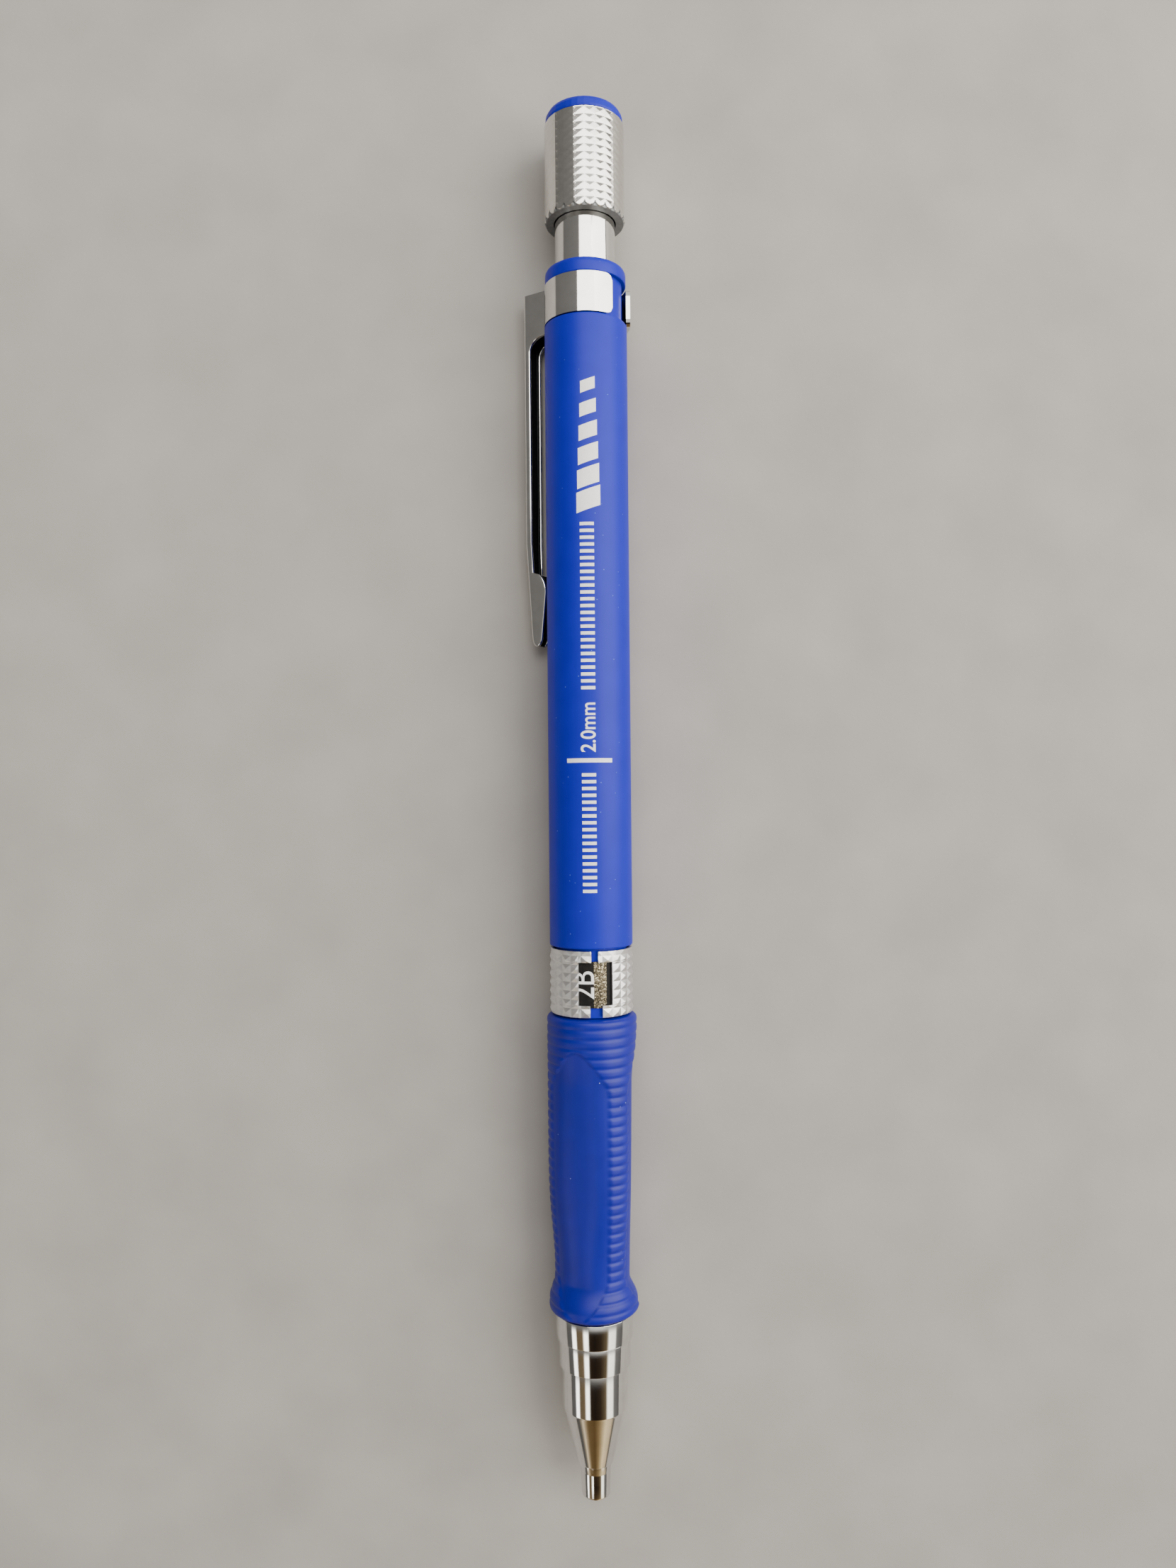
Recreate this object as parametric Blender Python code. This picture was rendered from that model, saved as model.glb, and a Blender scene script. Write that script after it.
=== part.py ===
"""A 2 mm click pencil lying on its side: barrel along Y, tip towards -Y, button towards +Y, +Z up.

Every station is a distance from the nozzle's end, measured along the pencil towards the button.
Radii are measured from the pencil's axis. The origin is the middle of the footprint, on the table.
"""

import math

import bmesh
import bpy
from mathutils import Matrix

MM = 0.001

# Driving dimensions.
LENGTH = 150.0 * MM
BARREL_RADIUS = 4.5 * MM
LEAD_RADIUS = 1.0 * MM
FIT = 0.1 * MM                      # radial gap between pieces that fit together

# Stations of the visible joints between pieces.
CONE_FRONT = 3.4 * MM
CONE_BACK = 9.2 * MM
NOSE_STEP_1 = 14.0 * MM
NOSE_STEP_2 = 17.0 * MM
NOSE_BACK = 19.9 * MM
GRIP_FRONT = 20.15 * MM
GRIP_BACK = 52.1 * MM
RING_FRONT = 52.35 * MM
RING_BACK = 59.3 * MM
BODY_FRONT = 59.55 * MM
BAND_FRONT = 126.85 * MM
BAND_BACK = 131.1 * MM
BARREL_BACK = 132.75 * MM
KNOB_FRONT = 137.0 * MM
KNOB_BACK = 148.7 * MM

# Radii of the barrel's seats and bores.
THREAD_RADIUS = 3.2 * MM
GRIP_SEAT = 3.45 * MM
LABEL_SEAT = 3.85 * MM
BAND_SEAT = 3.95 * MM
COLLAR_RADIUS = 4.4 * MM
FRONT_BORE = 2.7 * MM
REAR_BORE = 3.4 * MM
BORE_STEP = 60.0 * MM

GRIP_RADIUS = 4.88 * MM             # over the ribs, which is what the pencil lies on
GRIP_WAIST = 24.8 * MM              # where the lobes are slimmest
WAIST_DEPTH = 0.62 * MM
WAIST_LENGTH = 6.0 * MM
PANEL_RADIUS = 3.98 * MM            # hollow panels between the lobes, rising towards the back
PANEL_RISE = 0.42 * MM
PANEL_LENGTH = 24.0 * MM
LOBE_COUNT = 3
LOBE_FACING = math.radians(37)
PUSH_TUBE_RADIUS = 3.3 * MM
PUSH_TUBE_BORE = 2.95 * MM
PUSH_TUBE_FRONT = 113.2 * MM
PUSH_TUBE_BACK = 145.5 * MM
LEAD_TUBE_BORE = 2.15 * MM

# The chuck: a tube round the lead whose front is slit into jaws.
CHUCK_BORE = LEAD_RADIUS + 0.08 * MM
CHUCK_STEM = 1.5 * MM
JAW_COUNT = 3
JAW_ROOT = 27.0 * MM                # where the slits end and the jaws flex
JAW_GAP = 0.3 * MM
JAW_FACING = math.radians(7)
SLIT_HALF_ANGLE = math.radians(7)

# The clip is one folded sheet: a split band, and a channel-shaped arm beside the barrel.
CLIP_BACK_RADIUS = 7.4 * MM         # from the axis to the arm's outer face
CLIP_HALF_WIDTH = 1.22 * MM
CLIP_SHEET = 0.4 * MM
CLIP_FLANGE = 0.82 * MM
CLIP_END = 92.4 * MM
CLIP_END_BACK_RADIUS = 6.88 * MM
CLIP_END_HALF_WIDTH = 0.82 * MM
CLIP_BEND = 104.0 * MM              # where the arm starts to lean in towards its end
ARM_BACK = 126.5 * MM

# The pencil lies on the grip's rib and on the clip's lower corner, which sets the clip's angle.
AXIS_HEIGHT = GRIP_RADIUS
CLIP_CORNER = math.hypot(CLIP_BACK_RADIUS, CLIP_HALF_WIDTH)
CLIP_DROP = math.asin(AXIS_HEIGHT / CLIP_CORNER) - math.atan2(CLIP_HALF_WIDTH, CLIP_BACK_RADIUS)
CLIP_REACH = CLIP_BACK_RADIUS * math.cos(CLIP_DROP) + CLIP_HALF_WIDTH * math.sin(CLIP_DROP)
AXIS_OFFSET = (CLIP_REACH - GRIP_RADIUS) / 2

OUTER_SEGMENTS = 40
INNER_SEGMENTS = 24


def clear_scene():
    for obj in list(bpy.data.objects):
        bpy.data.objects.remove(obj, do_unlink=True)


def plastic(name, colour, roughness):
    return finish(name, colour, roughness, 0.0)


def metal(name, colour, roughness):
    return finish(name, colour, roughness, 1.0)


def finish(name, colour, roughness, metallic):
    material = bpy.data.materials.new(name)
    material.use_nodes = True
    shader = material.node_tree.nodes["Principled BSDF"]
    shader.inputs["Base Color"].default_value = (*colour, 1.0)
    shader.inputs["Roughness"].default_value = roughness
    shader.inputs["Metallic"].default_value = metallic
    material.diffuse_color = (*colour, 1.0)
    return material


def add_object(name, bm, material, parent):
    """Puts a finished bmesh in the scene as one smooth-shaded object."""
    bmesh.ops.recalc_face_normals(bm, faces=bm.faces)
    mesh = bpy.data.meshes.new(name)
    bm.to_mesh(mesh)
    bm.free()
    mesh.shade_smooth()
    mesh.set_sharp_from_angle(angle=math.radians(30))
    mesh.materials.append(material)
    obj = bpy.data.objects.new(name, mesh)
    obj.parent = parent
    bpy.context.collection.objects.link(obj)
    return obj


def turned(name, profile, segments, material, parent):
    """A lathe-turned piece: a closed outline of (radius, station) points, spun about the Y axis."""
    bm = bmesh.new()
    points = [bm.verts.new((radius, station, 0)) for radius, station in profile]
    edges = [bm.edges.new((a, b)) for a, b in zip(points, points[1:] + points[:1])]
    bmesh.ops.spin(
        bm, geom=points + edges, cent=(0, 0, 0), axis=(0, 1, 0),
        angle=math.tau, steps=segments, use_merge=True,
    )
    bmesh.ops.remove_doubles(bm, verts=bm.verts, dist=0.0001 * MM)
    flat = [face for face in bm.faces if face.calc_area() < 1e-14]
    bmesh.ops.delete(bm, geom=flat, context="FACES")
    return add_object(name, bm, material, parent)


def lofted(name, sections, material, parent, ring=False):
    """Joins equal outlines, given one after another as lists of points. A ring closes on itself."""
    bm = bmesh.new()
    loops = [[bm.verts.new(point) for point in section] for section in sections]
    following = loops[1:] + loops[:1] if ring else loops[1:]
    for loop, after in zip(loops, following):
        for i, vert in enumerate(loop):
            j = (i + 1) % len(loop)
            bm.faces.new((vert, loop[j], after[j], after[i]))
    if not ring:
        bm.faces.new(loops[0])
        bm.faces.new(loops[-1])
    return add_object(name, bm, material, parent)


def cut(obj, cutter):
    cutter.hide_render = True
    cutter.display_type = "WIRE"
    boolean = obj.modifiers.new(cutter.name, "BOOLEAN")
    boolean.object = cutter
    boolean.operation = "DIFFERENCE"


def around(radius, angle, station):
    """A point at an angle from straight up, turning towards +X."""
    return (radius * math.sin(angle), station, radius * math.cos(angle))


def wedge(name, first, last, front, back, parent):
    """A cutter shaped like a slice of cake, between two angles and two stations."""
    reach = 6 * MM
    sections = []
    for station in (front, back):
        rim = [around(reach, first, station), around(reach, last, station)]
        sections.append([(0, station, 0)] + rim)
    return lofted(name, sections, None, parent)


def box(name, centre, size, tilt, material, parent):
    """A block centred on a point of the pencil's own frame, tilted about X."""
    bm = bmesh.new()
    bmesh.ops.create_cube(bm, size=1.0)
    bmesh.ops.scale(bm, vec=size, verts=bm.verts)
    bmesh.ops.rotate(bm, cent=(0, 0, 0), matrix=Matrix.Rotation(tilt, 3, "X"), verts=bm.verts)
    bmesh.ops.translate(bm, vec=centre, verts=bm.verts)
    return add_object(name, bm, material, parent)


def empty(name, location, turn, parent):
    helper = bpy.data.objects.new(name, None)
    helper.location = location
    helper.rotation_euler = (0, turn, 0)
    helper.empty_display_size = 5 * MM
    helper.parent = parent
    bpy.context.collection.objects.link(helper)
    return helper


def barrel(axis, abs_blue):
    """One moulding: thread for the nose, seats for grip, ring and clip, and a rounded collar."""
    edge = 0.15 * MM
    rounding = 0.5 * MM
    ring_shoulder = GRIP_BACK + FIT
    profile = [
        (FRONT_BORE, 14.7 * MM),
        (THREAD_RADIUS, 14.7 * MM),
        (THREAD_RADIUS, GRIP_FRONT),
        (GRIP_SEAT, GRIP_FRONT),
        (GRIP_SEAT, ring_shoulder),
        (LABEL_SEAT, ring_shoulder),
        (LABEL_SEAT, BODY_FRONT),
        (BARREL_RADIUS - edge, BODY_FRONT),
        (BARREL_RADIUS, BODY_FRONT + edge),
        (BARREL_RADIUS, BAND_FRONT - FIT - edge),
        (BARREL_RADIUS - edge, BAND_FRONT - FIT),
        (BAND_SEAT, BAND_FRONT - FIT),
        (BAND_SEAT, BAND_BACK + FIT),
        (COLLAR_RADIUS, BAND_BACK + FIT),
    ]
    for step in range(4):
        angle = math.radians(30 * step)
        profile.append((
            COLLAR_RADIUS - rounding * (1 - math.cos(angle)),
            BARREL_BACK - rounding * (1 - math.sin(angle)),
        ))
    profile += [
        (REAR_BORE, BARREL_BACK),
        (REAR_BORE, BORE_STEP),
        (FRONT_BORE, BORE_STEP),
    ]
    return turned("barrel", profile, OUTER_SEGMENTS, abs_blue, axis)


def nose_cone(axis, chrome):
    """Stepped metal nose, screwed over the barrel's thread. Fine grooves divide its steps."""
    groove = 0.12 * MM
    profile = [
        (1.78 * MM, CONE_FRONT),
        (1.98 * MM, CONE_FRONT),
        (3.48 * MM, CONE_BACK),
        (3.52 * MM, CONE_BACK + groove),
        (3.52 * MM, NOSE_STEP_1 - groove),
        (3.4 * MM, NOSE_STEP_1 - groove),
        (3.4 * MM, NOSE_STEP_1),
        (3.89 * MM, NOSE_STEP_1 + groove),
        (3.89 * MM, NOSE_STEP_2 - groove),
        (3.78 * MM, NOSE_STEP_2 - groove),
        (3.78 * MM, NOSE_STEP_2),
        (4.18 * MM, NOSE_STEP_2 + groove),
        (4.18 * MM, NOSE_BACK),
        (THREAD_RADIUS + FIT, NOSE_BACK),
        (THREAD_RADIUS + FIT, 14.5 * MM),
        (2.4 * MM, 14.5 * MM),
        (2.4 * MM, 9.4 * MM),
        (2.0 * MM, 9.4 * MM),
        (2.0 * MM, 6.6 * MM),
        (1.78 * MM, 6.6 * MM),
    ]
    return turned("nose_cone", profile, OUTER_SEGMENTS, chrome, axis)


def nozzle(axis, chrome):
    """The lead's guide tube, pressed into the nose. It flares a little where it meets the cone."""
    bore = LEAD_RADIUS + FIT
    collar = CONE_FRONT - FIT
    profile = [
        (bore, 0),
        (1.5 * MM, 0),
        (1.56 * MM, 0.1 * MM),
        (1.63 * MM, 2.3 * MM),
        (1.74 * MM, collar),
        (1.68 * MM, collar),
        (1.68 * MM, 6.3 * MM),
        (bore, 6.3 * MM),
    ]
    return turned("nozzle", profile, INNER_SEGMENTS, chrome, axis)


def lead_retainer(axis, rubber):
    """A small rubber bush behind the nozzle that keeps the lead from dropping back."""
    profile = [
        (1.06 * MM, 6.9 * MM),
        (1.88 * MM, 6.9 * MM),
        (1.88 * MM, 9.2 * MM),
        (1.06 * MM, 9.2 * MM),
    ]
    return turned("lead_retainer", profile, INNER_SEGMENTS, rubber, axis)


def grip_radius(station, angle):
    """Three ribbed lobes and three hollow panels between them, fading to round rims at both ends."""
    from_back = GRIP_BACK - station
    from_front = station - GRIP_FRONT
    lobe = GRIP_RADIUS - WAIST_DEPTH * math.exp(-(((station - GRIP_WAIST) / WAIST_LENGTH) ** 2))
    panel = PANEL_RADIUS + PANEL_RISE * share((station - 24.0 * MM) / PANEL_LENGTH)
    fade_back = share((from_back - 1.0 * MM) / (6.5 * MM))
    fade_front = share((from_front - 1.0 * MM) / (2.6 * MM))
    fade = smooth(fade_back) * smooth(fade_front)
    rim = GRIP_RADIUS if from_front > 1.5 * MM else GRIP_RADIUS - 0.04 * MM
    lobe_share = 0.5 + 0.5 * math.cos(LOBE_COUNT * (angle - LOBE_FACING))
    hollow = panel + (lobe - panel) * lobe_share
    return rim + (hollow - rim) * fade


def share(x):
    return min(1.0, max(0.0, x))


def smooth(x):
    return x * x * (3 - 2 * x)


def grip(axis, rubber):
    """The rubber sleeve under the fingers, slid on from the front."""
    rounding = 0.3 * MM
    bore = GRIP_SEAT + FIT
    count = 17
    spacing = (GRIP_BACK - GRIP_FRONT - 2 * rounding) / (count - 1)
    stations = [GRIP_FRONT + rounding + spacing * i for i in range(count)]
    sections = []
    for turn in range(OUTER_SEGMENTS):
        angle = math.tau * turn / OUTER_SEGMENTS
        front = grip_radius(stations[0], angle) - rounding
        back = grip_radius(stations[-1], angle) - rounding
        outline = [around(bore, angle, GRIP_FRONT), around(front, angle, GRIP_FRONT)]
        outline += [around(grip_radius(s, angle), angle, s) for s in stations]
        outline += [around(back, angle, GRIP_BACK), around(bore, angle, GRIP_BACK)]
        sections.append(outline)
    return lofted("grip", sections, rubber, axis, ring=True)


def grade_label(axis, black):
    """A printed band round the barrel, read through the ring's window."""
    inner = LABEL_SEAT + FIT
    outer = inner + FIT
    profile = [
        (inner, 53.3 * MM),
        (outer, 53.3 * MM),
        (outer, 58.2 * MM),
        (inner, 58.2 * MM),
    ]
    return turned("grade_label", profile, OUTER_SEGMENTS, black, axis)


def grade_ring(axis, aluminium):
    """A split ring that turns over the label. A slot joins its window to each end."""
    inner = 4.15 * MM
    outer = 4.55 * MM
    edge = 0.1 * MM
    profile = [
        (inner, RING_FRONT),
        (outer - edge, RING_FRONT),
        (outer, RING_FRONT + edge),
        (outer, RING_BACK - edge),
        (outer - edge, RING_BACK),
        (inner, RING_BACK),
    ]
    ring = turned("grade_ring", profile, OUTER_SEGMENTS, aluminium, axis)
    window_front = 53.6 * MM
    window_back = 58.15 * MM
    beyond = 1 * MM
    openings = {
        "window": (-18.6, 30.3, window_front, window_back),
        "front_slot": (-2.1, 15.4, RING_FRONT - beyond, window_front + beyond),
        "back_slot": (-0.4, 9.3, window_back - beyond, RING_BACK + beyond),
    }
    for name, (first, last, front, back) in openings.items():
        cut(ring, wedge(name, math.radians(first), math.radians(last), front, back, axis))
    return ring


def clip_band(clip_frame, chrome):
    """The clip's split band and the fold that carries the arm, as one bent strip.

    Its section runs from one end of the split, round to the arm's side wall, out over the arm's
    back, and round to the other end, which springs a little proud of the barrel.
    """
    thickness = 0.45 * MM
    first_end = math.radians(-161)
    last_end = math.radians(151)
    steps = 16

    def strip(radius, half_width, back):
        corner = math.asin(half_width / radius)
        points = []
        for i in range(steps + 1):
            angle = first_end + (-corner - first_end) * i / steps
            points.append((radius * math.cos(angle), radius * math.sin(angle)))
        points += [(back, -half_width), (back, half_width)]
        for i in range(steps + 1):
            angle = corner + (last_end - corner) * i / steps
            proud = 0.38 * MM * smooth(max(0.0, (i / steps - 0.5) / 0.5))
            reach = radius + proud
            points.append((reach * math.cos(angle), reach * math.sin(angle)))
        return points

    outside = strip(BARREL_RADIUS, CLIP_HALF_WIDTH, CLIP_BACK_RADIUS)
    inside = strip(
        BARREL_RADIUS - thickness, CLIP_HALF_WIDTH - CLIP_SHEET, CLIP_BACK_RADIUS - CLIP_SHEET
    )
    sections = [
        [(a, BAND_FRONT, b), (a, BAND_BACK, b), (c, BAND_BACK, d), (c, BAND_FRONT, d)]
        for (a, b), (c, d) in zip(outside, inside)
    ]
    return lofted("clip_band", sections, chrome, clip_frame)


def clip_arm(clip_frame, clip_hinge, chrome):
    """The arm: a shallow channel whose flanges deepen into two lobes that close on the barrel."""
    lobe_start = 100.6 * MM
    lobe_peak = 98.3 * MM
    lobe_radius = 4.9 * MM
    end_edge_radius = 6.1 * MM
    stations = [ARM_BACK, 118.0 * MM, CLIP_BEND, lobe_start]
    stations += [lobe_start + (lobe_peak - lobe_start) * i / 4 for i in (1, 2, 3, 4)]
    stations += [96.0 * MM, 94.0 * MM, 93.0 * MM, CLIP_END]
    sections = []
    for station in stations:
        lean = max(0.0, (CLIP_BEND - station) / (CLIP_BEND - CLIP_END))
        back = CLIP_BACK_RADIUS + (CLIP_END_BACK_RADIUS - CLIP_BACK_RADIUS) * lean
        half = CLIP_HALF_WIDTH + (CLIP_END_HALF_WIDTH - CLIP_HALF_WIDTH) * lean
        flange = back - CLIP_FLANGE
        if lobe_peak <= station < lobe_start:
            along = (lobe_start - station) / (lobe_start - lobe_peak)
            flange = flange - (flange - lobe_radius) * math.sqrt(1 - (1 - along) ** 2)
        elif station < lobe_peak:
            along = (lobe_peak - station) / (lobe_peak - CLIP_END)
            flange = lobe_radius + (end_edge_radius - lobe_radius) * along
        inner = half - CLIP_SHEET
        sections.append([
            (flange, station, half),
            (back, station, half),
            (back, station, -half),
            (flange, station, -half),
            (flange, station, -inner),
            (back - CLIP_SHEET, station, -inner),
            (back - CLIP_SHEET, station, inner),
            (flange, station, inner),
        ])
    shift = clip_hinge.location
    moved = [[(x - shift.x, y - shift.y, z - shift.z) for x, y, z in s] for s in sections]
    return lofted("clip_arm", moved, chrome, clip_hinge)


def chuck(axis, brass):
    """The collet's stem. Its three jaws flex, so they are pieces of their own, hinged to it."""
    profile = [
        (CHUCK_BORE, JAW_ROOT + JAW_GAP / 2),
        (CHUCK_STEM, JAW_ROOT + JAW_GAP / 2),
        (CHUCK_STEM, 35.7 * MM),
        (CHUCK_BORE, 35.7 * MM),
    ]
    return turned("chuck", profile, INNER_SEGMENTS, brass, axis)


def chuck_jaw(number, axis, brass):
    """One jaw: a third of the collet's tapered head and of its slotted neck, hinged at its root."""
    front = 13.8 * MM
    root = JAW_ROOT - JAW_GAP / 2
    profile = [
        (CHUCK_BORE, front),
        (1.9 * MM, front),
        (2.05 * MM, front + 0.2 * MM),
        (2.05 * MM, 15.2 * MM),
        (1.6 * MM, 17.4 * MM),
        (CHUCK_STEM, 17.4 * MM),
        (CHUCK_STEM, root),
        (CHUCK_BORE, root),
    ]
    facing = JAW_FACING + math.tau * number / JAW_COUNT
    half_width = math.pi / JAW_COUNT - SLIT_HALF_ANGLE
    hinge_radius = (CHUCK_STEM + CHUCK_BORE) / 2
    hinge = empty(f"jaw_hinge_{number}", around(hinge_radius, facing, JAW_ROOT), facing, axis)
    steps = 6
    sections = []
    for i in range(steps + 1):
        angle = half_width * (2 * i / steps - 1)
        outline = [around(radius, angle, station) for radius, station in profile]
        sections.append([(x, y - JAW_ROOT, z - hinge_radius) for x, y, z in outline])
    return lofted(f"chuck_jaw_{number}", sections, brass, hinge)


def chuck_ring(axis, brass):
    """The loose ring that closes the jaws, with a taper that fits their heads."""
    front = 15.9 * MM
    profile = [
        (2.04 * MM, front),
        (2.58 * MM, front),
        (2.58 * MM, 18.6 * MM),
        (1.68 * MM, 18.6 * MM),
        (1.68 * MM, 17.7 * MM),
    ]
    return turned("chuck_ring", profile, INNER_SEGMENTS, brass, axis)


def thrust_sleeve(axis, acetal):
    """A fixed bush in the barrel: the chuck ring stops against it and the spring stands on it."""
    profile = [
        (1.7 * MM, 18.95 * MM),
        (FRONT_BORE - FIT, 18.95 * MM),
        (FRONT_BORE - FIT, 21.9 * MM),
        (1.7 * MM, 21.9 * MM),
    ]
    return turned("thrust_sleeve", profile, INNER_SEGMENTS, acetal, axis)


def chuck_spring(axis, steel):
    """The return spring round the chuck's stem, wound from 0.4 mm wire."""
    wire = 0.2 * MM
    coil = 2.12 * MM
    turns = 9
    steps = 12
    front = 22.2 * MM + wire
    back = 32.1 * MM - wire
    curve = bpy.data.curves.new("chuck_spring", "CURVE")
    curve.dimensions = "3D"
    curve.bevel_depth = wire
    curve.bevel_resolution = 1
    curve.use_fill_caps = True
    spline = curve.splines.new("POLY")
    count = turns * steps + 1
    spline.points.add(count - 1)
    for i, point in enumerate(spline.points):
        angle = math.tau * i / steps
        along = front + (back - front) * i / (count - 1)
        point.co = (*around(coil, angle, along), 1)
    curve.materials.append(steel)
    spring = bpy.data.objects.new("chuck_spring", curve)
    spring.parent = axis
    bpy.context.collection.objects.link(spring)
    return spring


def connector(axis, acetal):
    """Joins the chuck to the lead tube, with a funnel that leads the next lead in."""
    profile = [
        (1.6 * MM, 32.4 * MM),
        (2.5 * MM, 32.4 * MM),
        (2.5 * MM, 36.5 * MM),
        (LEAD_TUBE_BORE - FIT, 36.5 * MM),
        (LEAD_TUBE_BORE - FIT, 39.8 * MM),
        (1.8 * MM, 39.8 * MM),
        (1.15 * MM, 38.6 * MM),
        (1.15 * MM, 36.0 * MM),
        (1.6 * MM, 36.0 * MM),
    ]
    return turned("connector", profile, INNER_SEGMENTS, acetal, axis)


def lead_tube(axis, polypropylene):
    """The lead store. Its thick back end is pressed into the push tube."""
    thick_end = PUSH_TUBE_FRONT + 0.4 * MM
    profile = [
        (LEAD_TUBE_BORE, 36.8 * MM),
        (2.5 * MM, 36.8 * MM),
        (2.5 * MM, thick_end),
        (PUSH_TUBE_BORE - FIT, thick_end),
        (PUSH_TUBE_BORE - FIT, 118.0 * MM),
        (LEAD_TUBE_BORE, 118.0 * MM),
    ]
    return turned("lead_tube", profile, INNER_SEGMENTS, polypropylene, axis)


def push_tube(axis, chrome):
    """The bright tube that shows between barrel and button, and carries the button."""
    lead_in = 0.1 * MM
    profile = [
        (PUSH_TUBE_BORE, PUSH_TUBE_FRONT),
        (PUSH_TUBE_RADIUS, PUSH_TUBE_FRONT),
        (PUSH_TUBE_RADIUS, PUSH_TUBE_BACK - lead_in),
        (PUSH_TUBE_RADIUS - lead_in, PUSH_TUBE_BACK),
        (PUSH_TUBE_BORE, PUSH_TUBE_BACK),
    ]
    return turned("push_tube", profile, OUTER_SEGMENTS, chrome, axis)


def knob_sleeve(axis, bright_metal):
    """The button's knurled metal sleeve, which fits over the push tube."""
    bore = PUSH_TUBE_RADIUS + FIT
    crest = 4.42 * MM
    profile = [
        (bore, KNOB_FRONT),
        (3.5 * MM, KNOB_FRONT),
        (4.3 * MM, KNOB_FRONT + 0.95 * MM),
        (crest, KNOB_FRONT + 1.2 * MM),
        (crest, KNOB_BACK - 0.2 * MM),
        (4.3 * MM, KNOB_BACK),
        (bore, KNOB_BACK),
    ]
    return turned("knob_sleeve", profile, OUTER_SEGMENTS, bright_metal, axis)


# The lead pointer in the button: its cone, and the flat that its blade lies on.
POINTER_FRONT = 139.5 * MM
POINTER_MOUTH = 1.2 * MM
POINTER_APEX = 147.0 * MM
POINTER_TILT = math.atan2(POINTER_MOUTH, POINTER_APEX - POINTER_FRONT)


def sharpener_insert(axis, abs_blue):
    """The button's blue core and end: a plug with a conical pointing hole and a flat for a blade."""
    plug = PUSH_TUBE_BORE - FIT
    inside_sleeve = PUSH_TUBE_RADIUS - 0.05 * MM
    profile = [
        (POINTER_MOUTH, POINTER_FRONT),
        (plug, POINTER_FRONT),
        (plug, PUSH_TUBE_BACK + 0.3 * MM),
        (inside_sleeve, PUSH_TUBE_BACK + 0.3 * MM),
        (inside_sleeve, KNOB_BACK + FIT),
        (4.2 * MM, KNOB_BACK + FIT),
        (4.25 * MM, KNOB_BACK + 0.3 * MM),
        (4.2 * MM, LENGTH - 0.5 * MM),
        (4.0 * MM, LENGTH - 0.15 * MM),
        (3.7 * MM, LENGTH),
        (0, LENGTH),
        (0, POINTER_APEX),
    ]
    insert = turned("sharpener_insert", profile, OUTER_SEGMENTS, abs_blue, axis)
    depth = 3 * MM
    length = 5.4 * MM
    start = POINTER_FRONT - 0.5 * MM
    middle = start + length / 2
    floor = (POINTER_MOUTH - 0.15 * MM) * (POINTER_APEX - middle) / (POINTER_APEX - POINTER_FRONT)
    centre = (0, middle, floor + depth / 2)
    flat = box("blade_flat", centre, (7 * MM, length, depth), -POINTER_TILT, None, axis)
    cut(insert, flat)
    return insert


def sharpener_blade(axis, steel):
    """The pointer's steel blade, flat against the plug and open to the cone."""
    thickness = 0.35 * MM
    middle = POINTER_FRONT + 2.2 * MM
    floor = (POINTER_MOUTH - 0.15 * MM) * (POINTER_APEX - middle) / (POINTER_APEX - POINTER_FRONT)
    centre = (0, middle, floor + thickness / 2 + 0.12 * MM)
    size = (2.6 * MM, 4.0 * MM, thickness)
    return box("sharpener_blade", centre, size, -POINTER_TILT, steel, axis)


def lead(axis, graphite):
    """The working lead, drawn back inside the nozzle."""
    tip = 0.6 * MM
    profile = [
        (0, tip),
        (0.25 * MM, tip),
        (LEAD_RADIUS, tip + 3 * MM),
        (LEAD_RADIUS, 90 * MM),
        (0, 90 * MM),
    ]
    return turned("lead", profile, 16, graphite, axis)


def build():
    clear_scene()
    abs_blue = plastic("abs_blue", (0.012, 0.05, 0.35), 0.35)
    rubber_blue = plastic("rubber_blue", (0.012, 0.045, 0.30), 0.6)
    rubber_black = plastic("rubber_black", (0.02, 0.02, 0.02), 0.8)
    label_black = plastic("label_black", (0.01, 0.01, 0.01), 0.3)
    acetal = plastic("acetal_white", (0.75, 0.75, 0.72), 0.4)
    polypropylene = plastic("polypropylene", (0.7, 0.7, 0.7), 0.4)
    graphite = plastic("graphite", (0.05, 0.05, 0.055), 0.35)
    chrome = metal("chrome", (0.78, 0.78, 0.78), 0.08)
    bright_metal = metal("nickel_plate", (0.8, 0.8, 0.8), 0.2)
    satin = metal("satin_aluminium", (0.6, 0.6, 0.62), 0.35)
    brass = metal("brass", (0.7, 0.5, 0.2), 0.25)
    steel = metal("spring_steel", (0.55, 0.55, 0.56), 0.25)

    axis = empty("pencil_axis", (AXIS_OFFSET, -LENGTH / 2, AXIS_HEIGHT), 0, None)
    clip_frame = empty("clip_frame", (0, 0, 0), math.pi - CLIP_DROP, axis)
    hinge_place = (CLIP_BACK_RADIUS - CLIP_SHEET / 2, ARM_BACK, 0)
    clip_hinge = empty("clip_hinge", hinge_place, 0, clip_frame)

    barrel(axis, abs_blue)
    nose_cone(axis, chrome)
    nozzle(axis, chrome)
    lead_retainer(axis, rubber_black)
    grip(axis, rubber_blue)
    grade_label(axis, label_black)
    grade_ring(axis, satin)
    clip_band(clip_frame, chrome)
    clip_arm(clip_frame, clip_hinge, chrome)
    thrust_sleeve(axis, acetal)
    chuck(axis, brass)
    for number in range(JAW_COUNT):
        chuck_jaw(number, axis, brass)
    chuck_ring(axis, brass)
    chuck_spring(axis, steel)
    connector(axis, acetal)
    lead_tube(axis, polypropylene)
    push_tube(axis, chrome)
    knob_sleeve(axis, bright_metal)
    sharpener_insert(axis, abs_blue)
    sharpener_blade(axis, steel)
    lead(axis, graphite)


build()
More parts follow.
